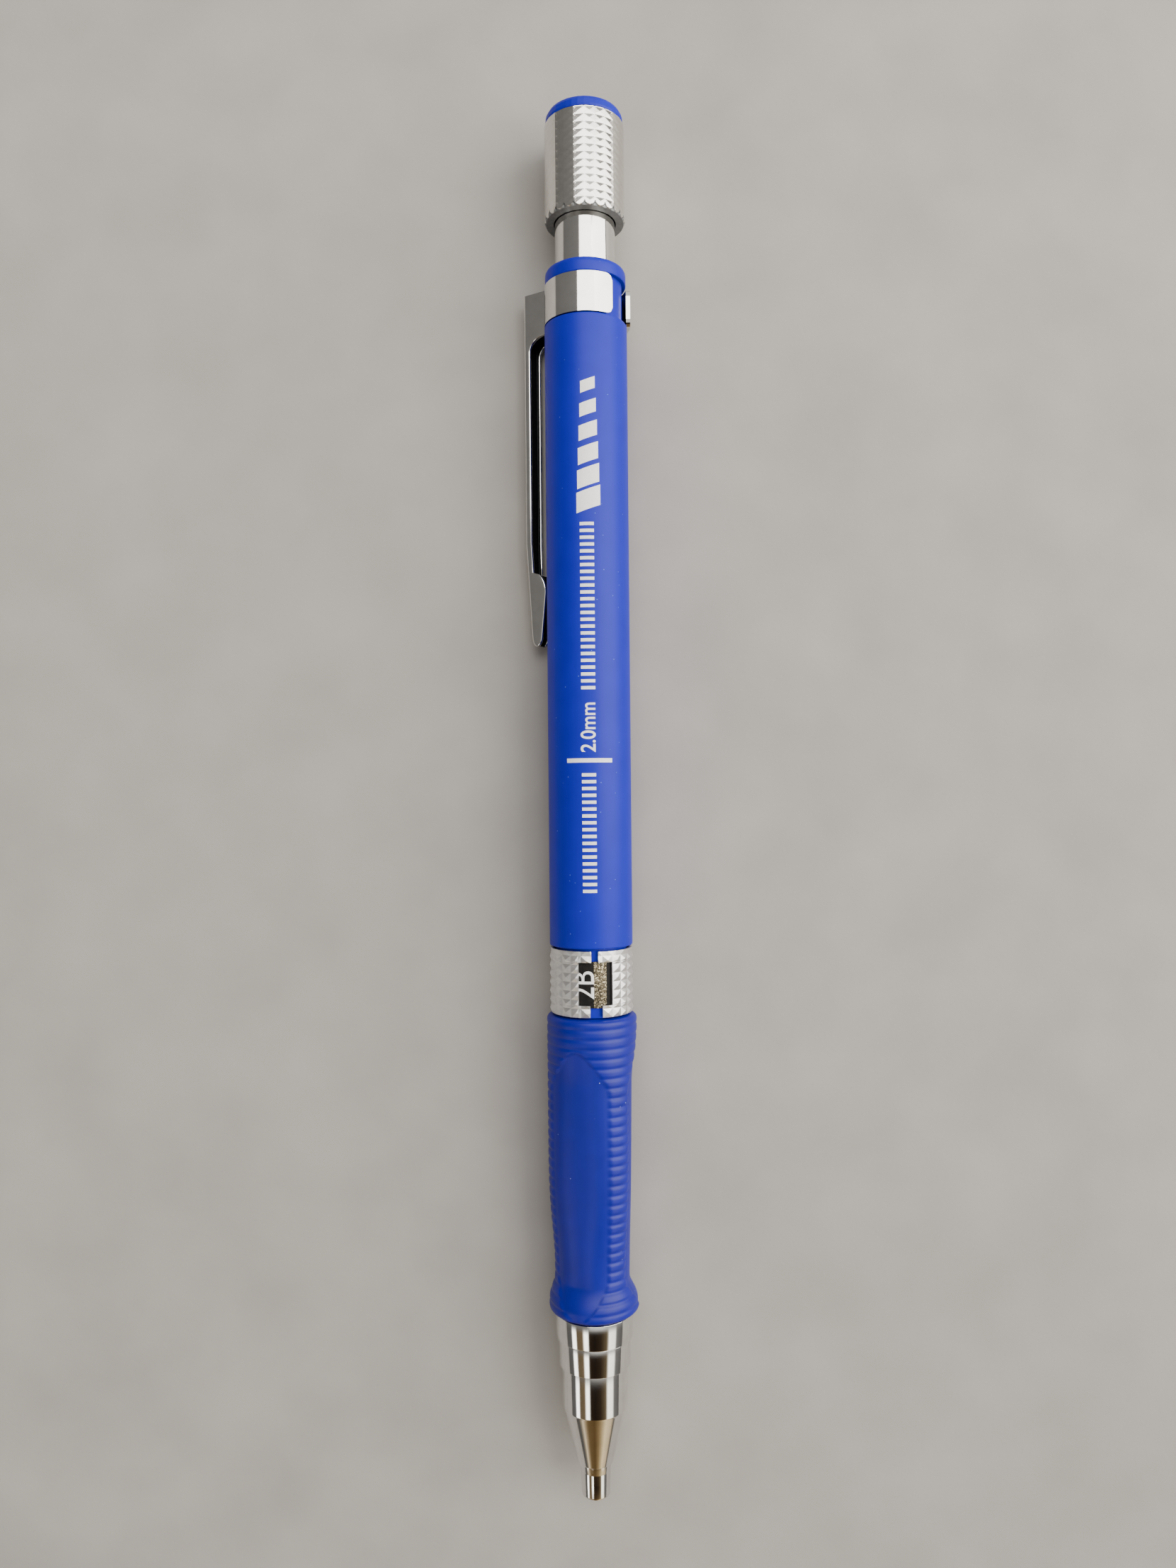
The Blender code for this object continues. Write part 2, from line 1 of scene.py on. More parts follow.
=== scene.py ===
"""A click pencil for 2 mm lead, lying on a pale table: its looks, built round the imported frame.

Stations run along the pencil from the nozzle's end, angles turn from straight up towards +X, and
radii are measured from the pencil's axis. Every length is in metres.
"""

import math

import bmesh
import bpy
import numpy as np
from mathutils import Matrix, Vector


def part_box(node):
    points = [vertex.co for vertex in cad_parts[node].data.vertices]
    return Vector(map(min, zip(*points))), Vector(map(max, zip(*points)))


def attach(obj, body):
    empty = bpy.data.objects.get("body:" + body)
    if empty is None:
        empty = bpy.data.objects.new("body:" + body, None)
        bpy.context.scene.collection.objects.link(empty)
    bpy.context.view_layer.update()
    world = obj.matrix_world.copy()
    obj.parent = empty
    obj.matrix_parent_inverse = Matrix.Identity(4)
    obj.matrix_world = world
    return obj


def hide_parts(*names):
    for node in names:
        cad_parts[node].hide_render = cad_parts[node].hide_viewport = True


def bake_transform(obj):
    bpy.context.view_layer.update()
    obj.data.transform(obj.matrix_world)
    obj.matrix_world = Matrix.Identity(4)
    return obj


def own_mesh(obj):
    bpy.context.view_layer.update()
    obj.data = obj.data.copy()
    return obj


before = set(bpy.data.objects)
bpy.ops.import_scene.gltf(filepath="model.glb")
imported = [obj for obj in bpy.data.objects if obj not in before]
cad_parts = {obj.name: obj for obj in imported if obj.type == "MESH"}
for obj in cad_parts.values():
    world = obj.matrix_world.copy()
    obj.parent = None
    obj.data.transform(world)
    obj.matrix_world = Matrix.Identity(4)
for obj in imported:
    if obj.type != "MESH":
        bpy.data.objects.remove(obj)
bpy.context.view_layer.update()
MM = 0.001


# ---------------------------------------------------------------------------------------------
# The camera: it looks straight down on the pencil from a hand's height, with a slight lean
# towards the button and a slight twist, as a phone is held.

barrel_low, barrel_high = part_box("barrel")
AXIS_X = (barrel_low.x + barrel_high.x) / 2
AXIS_Z = (barrel_low.z + barrel_high.z) / 2
TIP_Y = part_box("nozzle")[0].y

lens = bpy.data.cameras.new("camera")
lens.lens = 25.16
lens.sensor_width = 36
lens.clip_start = 1 * MM
camera = bpy.data.objects.new("camera", lens)
camera.location = (AXIS_X - 0.2 * MM, 1.24 * MM, AXIS_Z + 119.6 * MM)
camera.rotation_euler = (math.radians(0.35), 0, math.radians(-0.52))
bpy.context.collection.objects.link(camera)
bpy.context.scene.camera = camera


# ---------------------------------------------------------------------------------------------
# The floor: a pale board with a matt, slightly mottled paint. It isn't part of the pencil, and
# reaches far enough that a low view sees nothing under it.


def linear(code):
    """An sRGB hex colour as linear RGB and alpha: each channel to the power 2.4 past its toe."""
    channels = [int(code[i : i + 2], 16) / 255 for i in (0, 2, 4)]
    toed = [c / 12.92 if c <= 0.04045 else ((c + 0.055) / 1.055) ** 2.4 for c in channels]
    return (*toed, 1.0)


def add(tree, kind, settings=(), inputs=(), stops=()):
    """Adds one node. settings are its properties, inputs are values or sockets to link from, and
    stops are a ramp's (place, colour) pairs."""
    node = tree.nodes.new(kind)
    for name, value in dict(settings).items():
        setattr(node, name, value)
    for name, value in dict(inputs).items():
        if isinstance(value, bpy.types.NodeSocket):
            tree.links.new(value, node.inputs[name])
        else:
            node.inputs[name].default_value = value
    for i, (place, colour) in enumerate(stops):
        elements = node.color_ramp.elements
        stop = elements[i] if i < len(elements) else elements.new(place)
        stop.position = place
        stop.color = colour
    return node


def surface(name, roughness, metallic=0.0, **sockets):
    """A new material, its node tree, its Principled shader and the piece's Object coordinates."""
    made = bpy.data.materials.new(name)
    made.use_nodes = True
    tree = made.node_tree
    shader = tree.nodes["Principled BSDF"]
    shader.inputs["Roughness"].default_value = roughness
    shader.inputs["Metallic"].default_value = metallic
    for socket, value in sockets.items():
        shader.inputs[socket.replace("_", " ")].default_value = value
    place = add(tree, "ShaderNodeTexCoord").outputs["Object"]
    return made, tree, shader, place


def grain(tree, place, size, detail=3.0, stretch=(1, 1, 1)):
    """The factor of a noise whose blotches are about size metres across, drawn out by stretch."""
    drawn = add(tree, "ShaderNodeMapping", inputs={"Vector": place, "Scale": stretch})
    noise = add(
        tree, "ShaderNodeTexNoise",
        inputs={"Vector": drawn.outputs["Vector"], "Scale": 1 / size, "Detail": detail},
    )
    return noise.outputs[0]


def roughen(tree, shader, height, depth, strength=1.0):
    """Feeds a height pattern to the shader as a bump depth metres tall."""
    bump = add(
        tree, "ShaderNodeBump",
        inputs={"Height": height, "Distance": depth, "Strength": strength},
    )
    tree.links.new(bump.outputs["Normal"], shader.inputs["Normal"])


def tint(tree, shader, factor, stops):
    """Colours the shader by a factor, through a ramp of (place, colour) stops."""
    ramp = add(tree, "ShaderNodeValToRGB", inputs={"Fac": factor}, stops=stops)
    tree.links.new(ramp.outputs["Color"], shader.inputs["Base Color"])


# Painted board: matt, with a mottle a centimetre across and a grain of half a millimetre.
board, tree, shader, place = surface("painted_board", 0.75)
mottle = grain(tree, place, 12 * MM, 6.0)
tint(tree, shader, mottle, [(0.3, linear("999692")), (0.7, linear("a4a19d"))])
roughen(tree, shader, grain(tree, place, 0.5 * MM), 0.03 * MM, 0.5)

FLOOR_REACH = 2.0
corners = [(-1, -1), (1, -1), (1, 1), (-1, 1)]
mesh = bpy.data.meshes.new("floor")
mesh.from_pydata([(x * FLOOR_REACH, y * FLOOR_REACH, 0) for x, y in corners], [], [(0, 1, 2, 3)])
mesh.materials.append(board)
floor = bpy.data.objects.new("floor", mesh)
bpy.context.collection.objects.link(floor)


# ---------------------------------------------------------------------------------------------
# The light: a bright ceiling panel over the button's end, and a window low on the right that throws
# the shadow to the left. Round them is a dimmer room, whose warm walls show in the bright nose.


def softbox(name, lean, distance, along, size, radiance, colour):
    """An area light that leans from straight up towards +X, at a distance from the Y axis. Its
    watts are its radiance times pi times its area."""
    light = bpy.data.lights.new(name, "AREA")
    light.shape = "RECTANGLE"
    light.size, light.size_y = size
    light.energy = radiance * math.pi * size[0] * size[1]
    light.color = linear(colour)[:3]
    lamp = bpy.data.objects.new(name, light)
    lean = math.radians(lean)
    lamp.location = (distance * math.sin(lean), along, distance * math.cos(lean))
    lamp.rotation_euler = (0, lean, 0)
    bpy.context.collection.objects.link(lamp)


softbox("ceiling", 2, 0.5, 0.31, (0.44, 0.3), 4.6, "fffaf4")
softbox("window", 55, 0.6, 0.16, (0.68, 0.62), 5.4, "fffaf2")

world = bpy.data.worlds.new("room")
bpy.context.scene.world = world
world.use_nodes = True
tree = world.node_tree
sky = add(tree, "ShaderNodeTexCoord").outputs["Generated"]
parts = add(tree, "ShaderNodeSeparateXYZ", inputs={"Vector": sky}).outputs
# The angle from straight up towards +X, as 0 at -90 degrees and 1 at +90.
turn = add(tree, "ShaderNodeMath", {"operation": "ARCTAN2"}, {0: parts["X"], 1: parts["Z"]})
turn = add(
    tree, "ShaderNodeMapRange",
    inputs={"Value": turn.outputs[0], "From Min": -math.pi / 2, "From Max": math.pi / 2},
).outputs["Result"]
# Towards the tip: two bright windows, with the viewer's dark shade between them.
near_tip = add(
    tree, "ShaderNodeValToRGB", inputs={"Fac": turn},
    stops=[
        (0.0, linear("8f8c88")), (0.09, linear("8f8c88")), (0.115, linear("fdfbf6")),
        (0.175, linear("fdfbf6")), (0.2, linear("a08a6c")), (0.29, linear("a8906e")),
        (0.325, linear("fdf9ee")), (0.385, linear("fdf9ee")), (0.415, linear("52402f")),
        (0.5, linear("40332a")), (0.6, linear("5c4a38")), (0.7, linear("a08c6a")),
        (0.745, linear("f2efe2")), (0.85, linear("eeeade")), (0.885, linear("a5a29e")),
        (1.0, linear("94918d")),
    ],
)
# Further down towards the tip: a tan wall, lit from the right.
low_tip = add(
    tree, "ShaderNodeValToRGB", inputs={"Fac": turn},
    stops=[
        (0.06, linear("8a867f")), (0.16, linear("e2cca8")), (0.3, linear("a88a5c")),
        (0.47, linear("9a7a4c")), (0.6, linear("c0a070")), (0.78, linear("e6cf9f")),
        (0.93, linear("dcc49c")), (1.0, linear("8a8682")),
    ],
)
# Elsewhere: a grey room.
rest = add(
    tree, "ShaderNodeValToRGB", inputs={"Fac": turn},
    stops=[
        (0.0, linear("9a9793")), (0.37, linear("a7a4a0")), (0.43, linear("cfcdc9")),
        (0.62, linear("d6d4cf")), (0.9, linear("b5b2ae")),
    ],
)
towards_tip = add(
    tree, "ShaderNodeMapRange", {"interpolation_type": "SMOOTHSTEP"},
    {"Value": parts["Y"], "From Min": -0.32, "From Max": -0.4},
)
low = add(
    tree, "ShaderNodeMapRange", {"interpolation_type": "SMOOTHSTEP"},
    {"Value": parts["Y"], "From Min": -0.58, "From Max": -0.66},
)
upper = add(
    tree, "ShaderNodeMix", {"data_type": "RGBA"},
    {"Factor": low.outputs["Result"], 6: near_tip.outputs["Color"], 7: low_tip.outputs["Color"]},
)
whole = add(
    tree, "ShaderNodeMix", {"data_type": "RGBA"},
    {"Factor": towards_tip.outputs["Result"], 6: rest.outputs["Color"], 7: upper.outputs[2]},
)
# The pale parts glow: the strength is 0.4 plus 4.5 times the cube of the colour's lightness.
lightness = add(tree, "ShaderNodeRGBToBW", inputs={"Color": whole.outputs[2]})
cube = add(tree, "ShaderNodeMath", {"operation": "POWER"}, {0: lightness.outputs[0], 1: 3.0})
glow = add(
    tree, "ShaderNodeMath", {"operation": "MULTIPLY_ADD"}, {0: cube.outputs[0], 1: 4.5, 2: 0.4}
)
background = tree.nodes["Background"]
tree.links.new(whole.outputs[2], background.inputs["Color"])
tree.links.new(glow.outputs[0], background.inputs["Strength"])
# Seen past the floor's edge, the room is a plain pale grey.
plain = add(tree, "ShaderNodeBackground", inputs={"Color": linear("cfcdc9"), "Strength": 1.0})
seen = add(
    tree, "ShaderNodeMixShader",
    inputs={0: add(tree, "ShaderNodeLightPath").outputs["Is Camera Ray"]},
)
tree.links.new(background.outputs[0], seen.inputs[1])
tree.links.new(plain.outputs[0], seen.inputs[2])
tree.links.new(seen.outputs[0], tree.nodes["World Output"].inputs["Surface"])


# ---------------------------------------------------------------------------------------------
# The barrel: one ABS moulding with seats for grip, ring and clip and a rounded collar. It comes
# out of its mould satin, and picks up dust and hair scratches in a pocket.


def around(radius, angle, station):
    """Points round the axis: x and z are the radius times the angle's sine and cosine."""
    x = AXIS_X + radius * np.sin(angle)
    z = AXIS_Z + radius * np.cos(angle)
    return np.stack(np.broadcast_arrays(x, TIP_Y + station, z), axis=-1)


def piece(name, points, faces, finish, body, slot, *replaced, sharp=35):
    """Makes one object of points and faces, at the origin, parents it to its body's empty and hides the
    parts it replaces. Doubled points are merged, and the faces are turned out if the solid's signed
    volume is negative."""
    mesh = bpy.data.meshes.new(name)
    mesh.from_pydata(np.reshape(points, (-1, 3)).tolist(), [], [list(face) for face in faces])
    work = bmesh.new()
    work.from_mesh(mesh)
    bmesh.ops.remove_doubles(work, verts=work.verts, dist=1e-7)
    bmesh.ops.dissolve_degenerate(work, edges=work.edges, dist=1e-8)
    if work.calc_volume(signed=True) < 0:
        bmesh.ops.reverse_faces(work, faces=work.faces)
    work.to_mesh(mesh)
    work.free()
    mesh.shade_smooth()
    mesh.set_sharp_from_angle(angle=math.radians(sharp))
    mesh.materials.append(finish)
    made = bpy.data.objects.new(name, mesh)
    bpy.context.collection.objects.link(made)
    if body:
        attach(made, body)
    if replaced:
        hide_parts(*replaced)
    return made


def softened(outline, edge, steps=5):
    """Rounds a closed outline's corners: each becomes a quadratic curve that leaves one side and
    meets the next a distance edge from the corner, or half the side if that is shorter."""
    corner = np.array(outline, float)
    edge = np.broadcast_to(np.reshape(edge, (-1, 1)), (len(corner), 1))
    ends = []
    for other in (np.roll(corner, 1, 0), np.roll(corner, -1, 0)):
        side = other - corner
        length = np.linalg.norm(side, axis=1, keepdims=True)
        ends.append(corner + side * np.minimum(edge / length, 0.5))
    t = np.linspace(0, 1, steps)[:, None, None]
    curve = (1 - t) ** 2 * ends[0] + 2 * t * (1 - t) * corner + t**2 * ends[1]
    curve = curve.transpose(1, 0, 2).reshape(-1, 2)
    return curve[np.linalg.norm(curve - np.roll(curve, 1, 0), axis=1) > 1e-8]


def turned(outline, edge, segments=144):
    """A lathe-turned solid: the softened outline of (radius, station) points, carried round the
    axis. Returns its points and faces."""
    radius, station = softened(outline, edge).T
    angle = np.linspace(0, math.tau, segments, endpoint=False)
    points = around(radius[:, None], angle, station[:, None])
    rows, columns = np.meshgrid(np.arange(len(radius)), np.arange(segments), indexing="ij")
    below, beside = (rows + 1) % len(radius), (columns + 1) % segments
    index = rows * segments + columns
    faces = np.stack(
        [index, rows * segments + beside, below * segments + beside, below * segments + columns],
        axis=-1,
    )
    return points, faces.reshape(-1, 4).tolist()


# Satin ABS: moulded in royal blue. A fine spark-eroded mould texture scatters the highlight, and
# pale dust specks a tenth of a millimetre across sit on it.
satin_abs, tree, shader, place = surface("satin_abs", 0.44, IOR=1.46, Specular_IOR_Level=0.3)
tone = grain(tree, place, 3 * MM, 4.0)
specks = add(tree, "ShaderNodeTexVoronoi", inputs={"Vector": place, "Scale": 1 / (1.1 * MM)})
chosen = add(
    tree, "ShaderNodeMath", {"operation": "LESS_THAN"},
    {0: specks.outputs["Distance"], 1: 0.04},
)
blue = add(
    tree, "ShaderNodeValToRGB", inputs={"Fac": tone},
    stops=[(0.3, linear("0a14a4")), (0.7, linear("0d17ac"))],
)
dusty = add(
    tree, "ShaderNodeMix", {"data_type": "RGBA"},
    {"Factor": chosen.outputs[0], 6: blue.outputs["Color"], 7: linear("6f8fdc")},
)
tree.links.new(dusty.outputs[2], shader.inputs["Base Color"])
scuffs = grain(tree, place, 0.12 * MM, 2.0, (1, 0.12, 1))
roughen(tree, shader, scuffs, 0.004 * MM, 0.6)

outline = [
    (2.7, 14.7), (3.2, 14.7), (3.2, 20.15), (3.45, 20.15), (3.45, 52.2), (3.85, 52.2),
    (3.85, 59.55), (4.5, 59.55), (4.5, 126.75), (3.95, 126.75), (3.95, 131.2), (4.4, 131.2),
    (4.4, 132.75), (3.4, 132.75), (3.4, 60.0), (2.7, 60.0),
]
rounding = [0.1, 0.1, 0.05, 0.05, 0.05, 0.05, 0.05, 0.16, 0.16, 0.05, 0.05, 0.12, 0.55, 0.2, 0.1, 0.1]
points, faces = turned(np.array(outline) * MM, np.array(rounding) * MM)
piece("barrel_moulding", points, faces, satin_abs, "barrel_body", "abs_blue", "barrel")


# ---------------------------------------------------------------------------------------------
# The print on the barrel: white pad-printed ink, a hair thick. It gives the lead size with a thin
# rule before it, between two rows of thin strokes. Six slanted bars lie nearer the button.

BODY = 4.5 * MM
INK = 0.012 * MM

ink, tree, shader, place = surface("white_ink", 0.45, IOR=1.5)
tint(tree, shader, grain(tree, place, 0.25 * MM), [(0.3, linear("f2f4f8")), (0.7, linear("fdfdfe"))])
roughen(tree, shader, grain(tree, place, 0.08 * MM), 0.003 * MM, 0.5)


def wrapped(flat, radius, station, angle):
    """Lays flat points (along, up, out) on a cylinder: along runs to the button, and up turns
    towards -X by its length over the radius."""
    along, up, out = flat.T
    return around(radius + out, angle - up / radius, station + along)


def corners_of(mesh):
    """A mesh's vertices as an array with a row of x, y and z for each."""
    corner = np.zeros(len(mesh.vertices) * 3)
    mesh.vertices.foreach_get("co", corner)
    return corner.reshape(-1, 3)


def lettering(text, length, height, thickness, weight=0.0):
    """A line of text as points and faces, stretched to a length and a height from its baseline. Its
    strokes are fattened by weight, and it is cut every tenth of its height so that it can bend."""
    curve = bpy.data.curves.new(text, "FONT")
    curve.body = text
    curve.offset = weight
    curve.extrude = 1
    holder = bpy.data.objects.new(text, curve)
    bpy.context.collection.objects.link(holder)
    bpy.context.view_layer.update()
    flat = bpy.data.meshes.new_from_object(holder)
    bpy.data.objects.remove(holder)
    work = bmesh.new()
    work.from_mesh(flat)
    bmesh.ops.remove_doubles(work, verts=work.verts, dist=1e-6)
    work.to_mesh(flat)
    low, high = corners_of(flat).min(axis=0), corners_of(flat).max(axis=0)
    scale = np.array([length, height, 2 * thickness]) / (high - low)
    bmesh.ops.translate(work, verts=work.verts, vec=(-low[0], -low[1], 0))
    bmesh.ops.scale(work, verts=work.verts, vec=scale)
    for level in np.linspace(0, height, 11):
        everything = work.verts[:] + work.edges[:] + work.faces[:]
        bmesh.ops.bisect_plane(work, geom=everything, plane_co=(0, level, 0), plane_no=(0, 1, 0))
    bmesh.ops.triangulate(work, faces=work.faces)
    work.to_mesh(flat)
    work.free()
    faces = np.zeros(len(flat.loops), np.int32)
    flat.loops.foreach_get("vertex_index", faces)
    return corners_of(flat), faces.reshape(-1, 3).tolist()


def stripe(length, height, thickness, slant=0.0, pieces=8):
    """A flat bar as points and faces, cut into strips across its height, leaning by slant."""
    across = np.linspace(-0.5, 0.5, pieces + 1)
    lean = across * height * slant
    points, faces = [], []
    for out in (-thickness, thickness):
        for end in (0.0, length):
            points.append(np.stack([end + lean, across * height, np.full_like(across, out)], axis=1))
    low_start, low_end, high_start, high_end = np.arange(4 * (pieces + 1)).reshape(4, -1)
    walls = [
        (high_start, high_end), (low_end, low_start), (low_start, high_start), (high_end, low_end),
    ]
    for one, other in walls:
        faces += np.stack([one[:-1], other[:-1], other[1:], one[1:]], axis=1).tolist()
    for k in (0, -1):
        faces.append([low_start[k], low_end[k], high_end[k], high_start[k]])
    return np.concatenate(points), faces


def printed(name, marks, radius, body):
    """Joins marks, each (points, faces, station, angle), into one printed piece on a cylinder."""
    points, faces, count = [], [], 0
    for flat, sides, station, angle in marks:
        points.append(wrapped(flat, radius, station, angle))
        faces += [[corner + count for corner in side] for side in sides]
        count += len(flat)
    return piece(name, np.concatenate(points), faces, ink, body, "abs_blue", sharp=30)


marks = [
    (*lettering("2.0mm", 5.2 * MM, 1.6 * MM, INK, 0.012), 80.3 * MM, math.radians(8.5)),
    (*stripe(0.45 * MM, 5.0 * MM, INK, pieces=16), 79.2 * MM, 0.0),
]
# Six bars, each a little smaller than the one before it.
for number in range(6):
    width, height = (2.15 - 0.18 * number) * MM, (2.55 - 0.2 * number) * MM
    station = (105.9 + 2.5 * number) * MM
    marks.append((*stripe(width, height, INK, slant=-0.35), station, math.radians(1.5)))
# Two rows of thin strokes stand where smaller words would be: each row's first station and count.
for first, count in ((65.5, 18), (86.9, 25)):
    for stroke in range(count):
        station = (first + 0.72 * stroke) * MM
        marks.append((*stripe(0.34 * MM, 1.5 * MM, INK), station, math.radians(-1)))
printed("barrel_print", marks, BODY, "barrel_body")


# ---------------------------------------------------------------------------------------------
# The grade label: a black film printed with the lead grade and a glitter stripe, wrapped round
# the barrel under the ring's window.

LABEL = 4.05 * MM
GLITTER_FROM, GLITTER_TO = math.radians(4.2), math.radians(23.6)
GLITTER_RAGGED = math.radians(1.6)

# Printed film: black, with a dull sheen. Its glitter is flakes a tenth of a millimetre across,
# and the stripe of them has a ragged edge.
film, tree, shader, place = surface("printed_film", 0.6, IOR=1.42, Specular_IOR_Level=0.25)
centred = add(
    tree, "ShaderNodeMapping",
    inputs={"Vector": place, "Location": (-AXIS_X, 0, -AXIS_Z)},
).outputs["Vector"]
parts = add(tree, "ShaderNodeSeparateXYZ", inputs={"Vector": centred}).outputs
angle = add(tree, "ShaderNodeMath", {"operation": "ARCTAN2"}, {0: parts["X"], 1: parts["Z"]})
wobble = grain(tree, place, 0.25 * MM)
ragged = add(
    tree, "ShaderNodeMath", {"operation": "MULTIPLY_ADD"},
    {0: wobble, 1: GLITTER_RAGGED, 2: angle.outputs[0]},
)
after = add(
    tree, "ShaderNodeMath", {"operation": "GREATER_THAN"},
    {0: ragged.outputs[0], 1: GLITTER_FROM},
)
before = add(
    tree, "ShaderNodeMath", {"operation": "LESS_THAN"},
    {0: ragged.outputs[0], 1: GLITTER_TO},
)
stripe_share = add(
    tree, "ShaderNodeMath", {"operation": "MULTIPLY"},
    {0: after.outputs[0], 1: before.outputs[0]},
).outputs[0]
flakes = add(tree, "ShaderNodeTexVoronoi", inputs={"Vector": place, "Scale": 1 / (0.09 * MM)})
flake_tone = add(tree, "ShaderNodeSeparateXYZ", inputs={"Vector": flakes.outputs["Color"]})
glitter = add(
    tree, "ShaderNodeValToRGB", inputs={"Fac": flake_tone.outputs["X"]},
    stops=[
        (0.0, linear("2c2822")), (0.45, linear("5c5546")), (0.8, linear("8f856d")),
        (1.0, linear("f0e6cc")),
    ],
)
film_black = add(
    tree, "ShaderNodeValToRGB", inputs={"Fac": grain(tree, place, 0.3 * MM)},
    stops=[(0.3, linear("0d0c0c")), (0.75, linear("1c1a19"))],
)
label_colour = add(
    tree, "ShaderNodeMix", {"data_type": "RGBA"},
    {"Factor": stripe_share, 6: film_black.outputs["Color"], 7: glitter.outputs["Color"]},
)
tree.links.new(label_colour.outputs[2], shader.inputs["Base Color"])
tree.links.new(stripe_share, shader.inputs["Metallic"])
roughen(tree, shader, flake_tone.outputs["Y"], 0.01 * MM, 0.35)

outline = [(3.95, 53.3), (4.05, 53.3), (4.05, 58.2), (3.95, 58.2)]
points, faces = turned(np.array(outline) * MM, 0.02 * MM)
piece("label_film", points, faces, film, "barrel_body", "label_print", "grade_label")

grade = (*lettering("2B", 2.95 * MM, 2.35 * MM, 0.008 * MM), 54.25 * MM, math.radians(3.6))
printed("label_grade", [grade], LABEL, "barrel_body")


# ---------------------------------------------------------------------------------------------
# The grade ring: a split ring, knurled in square pyramids, that turns over the label. A window
# shows the grade, and a slot joins the window to each end.


def thick(outer, inner, keep, across=None):
    """A sheet between two grids of points, closed where cells are left out. keep says which cells
    are there: as many columns as the grid has if it closes on itself, else one fewer. across
    is a height for each point, and each face is split along the diagonal where it changes most."""
    rows, columns = outer.shape[:2]
    count = rows * columns
    row, column = np.nonzero(keep)
    beside = (column + 1) % columns
    a, b = row * columns + column, row * columns + beside
    d, c = a + columns, b + columns
    quads = [np.stack([a, b, c, d], axis=1), np.stack([d, c, b, a], axis=1) + count]
    # A wall goes wherever a kept cell's neighbour is missing.
    kept = np.zeros((rows + 1, columns), bool)
    kept[1 : keep.shape[0] + 1, : keep.shape[1]] = keep
    above, below = kept[row, column], kept[row + 2, column]
    left, right = kept[row + 1, (column - 1) % columns], kept[row + 1, beside]
    for missing, one, other in ((~above, a, b), (~right, b, c), (~below, c, d), (~left, d, a)):
        one, other = one[missing], other[missing]
        quads.append(np.stack([other, one, one + count, other + count], axis=1))
    points = np.concatenate([outer.reshape(-1, 3), inner.reshape(-1, 3)])
    if across is None:
        return points, np.concatenate(quads).tolist()
    level = across.reshape(-1)
    flip = np.abs(level[b] - level[d]) > np.abs(level[a] - level[c])
    split = [
        np.stack([a, b, c], 1)[~flip], np.stack([a, c, d], 1)[~flip],
        np.stack([a, b, d], 1)[flip], np.stack([b, c, d], 1)[flip],
    ]
    return points, np.concatenate(split).tolist() + np.concatenate(quads[1:]).tolist()


def tooth(turns):
    """0 in the groove at each whole turn, and a straight rise to 1 halfway between grooves."""
    return 1 - 2 * np.abs(turns - np.floor(turns) - 0.5)


def tooth_lines(first, last, count, bends=(0, 0.5)):
    """Where a row of count teeth from first to last bends, with its bends in shares of a tooth."""
    breaks = (np.arange(-1, count + 1)[:, None] + np.array(bends)).ravel()
    inside = breaks[(breaks > 1e-6) & (breaks < count - 1e-6)]
    return first + (last - first) * np.concatenate([[0], inside, [count]]) / count


# Satin aluminium: turned, knurled and acid-etched, so it is grey with a soft, broad shine.
etched, tree, shader, place = surface("etched_aluminium", 0.38, 1.0)
cloudy = grain(tree, place, 0.4 * MM, 4.0)
tint(tree, shader, cloudy, [(0.3, linear("dfdfe0")), (0.7, linear("e9e9ea"))])
roughen(tree, shader, grain(tree, place, 0.07 * MM), 0.004 * MM, 0.7)

RING_FRONT = 52.35 * MM
RING_BACK = 59.3 * MM
RING = 4.55 * MM
RING_BORE = 4.15 * MM
RING_COLUMNS = 24
RING_ROWS = 7.5
KNURL_DEPTH = 0.17 * MM
# The window and the two slots: first and last angle in degrees, and first and last station.
window = (-18.6, 30.3, 53.6 * MM, 58.15 * MM)
openings = [window, (-2.1, 15.4, 0, 54 * MM), (-0.4, 9.3, 58 * MM, 1)]

column_pitch = 360 / RING_COLUMNS
angles = tooth_lines(-180, 180, RING_COLUMNS)[:-1]
cuts = [edge for opening in openings for edge in opening[:2]]
angles = np.unique(np.round(np.concatenate([angles, cuts]), 6))
pitch = (RING_BACK - RING_FRONT) / RING_ROWS
stations = tooth_lines(RING_FRONT, RING_BACK, RING_ROWS)
stations = np.unique(np.round(np.concatenate([stations, window[2:]]), 9))
height = np.minimum(
    tooth((angles + 180) / column_pitch)[None, :], tooth((stations - RING_FRONT) / pitch)[:, None]
)
# Both ends are turned down, so that no tooth stands at an edge.
height[[0, -1], :] = np.minimum(height[[0, -1], :], 0.3)
outer = around(RING - KNURL_DEPTH * (1 - height), np.radians(angles), stations[:, None])
inner = around(RING_BORE + 0 * height, np.radians(angles), stations[:, None])
middle_angle = (angles + np.append(angles[1:], angles[0] + 360)) / 2
middle_station = (stations[1:] + stations[:-1]) / 2
keep = np.ones((len(middle_station), len(middle_angle)), bool)
for first, last, front, back in openings:
    in_angle = (middle_angle > first) & (middle_angle < last)
    in_station = (middle_station > front) & (middle_station < back)
    keep &= ~(in_station[:, None] & in_angle)
points, faces = thick(outer, inner, keep, height)
piece("ring_knurled", points, faces, etched, "grade_ring", "satin_aluminium", "grade_ring", sharp=8)


# ---------------------------------------------------------------------------------------------
# The grip: a rubber sleeve pushed on from the front. Three ribbed lobes lie between three smooth
# hollows for the fingers, and full rings of ribs run round both ends.


def smoothstep(x):
    """0 below 0 and 1 above 1, with a soft start and end between: 3x^2 - 2x^3."""
    x = np.clip(x, 0, 1)
    return x * x * (3 - 2 * x)


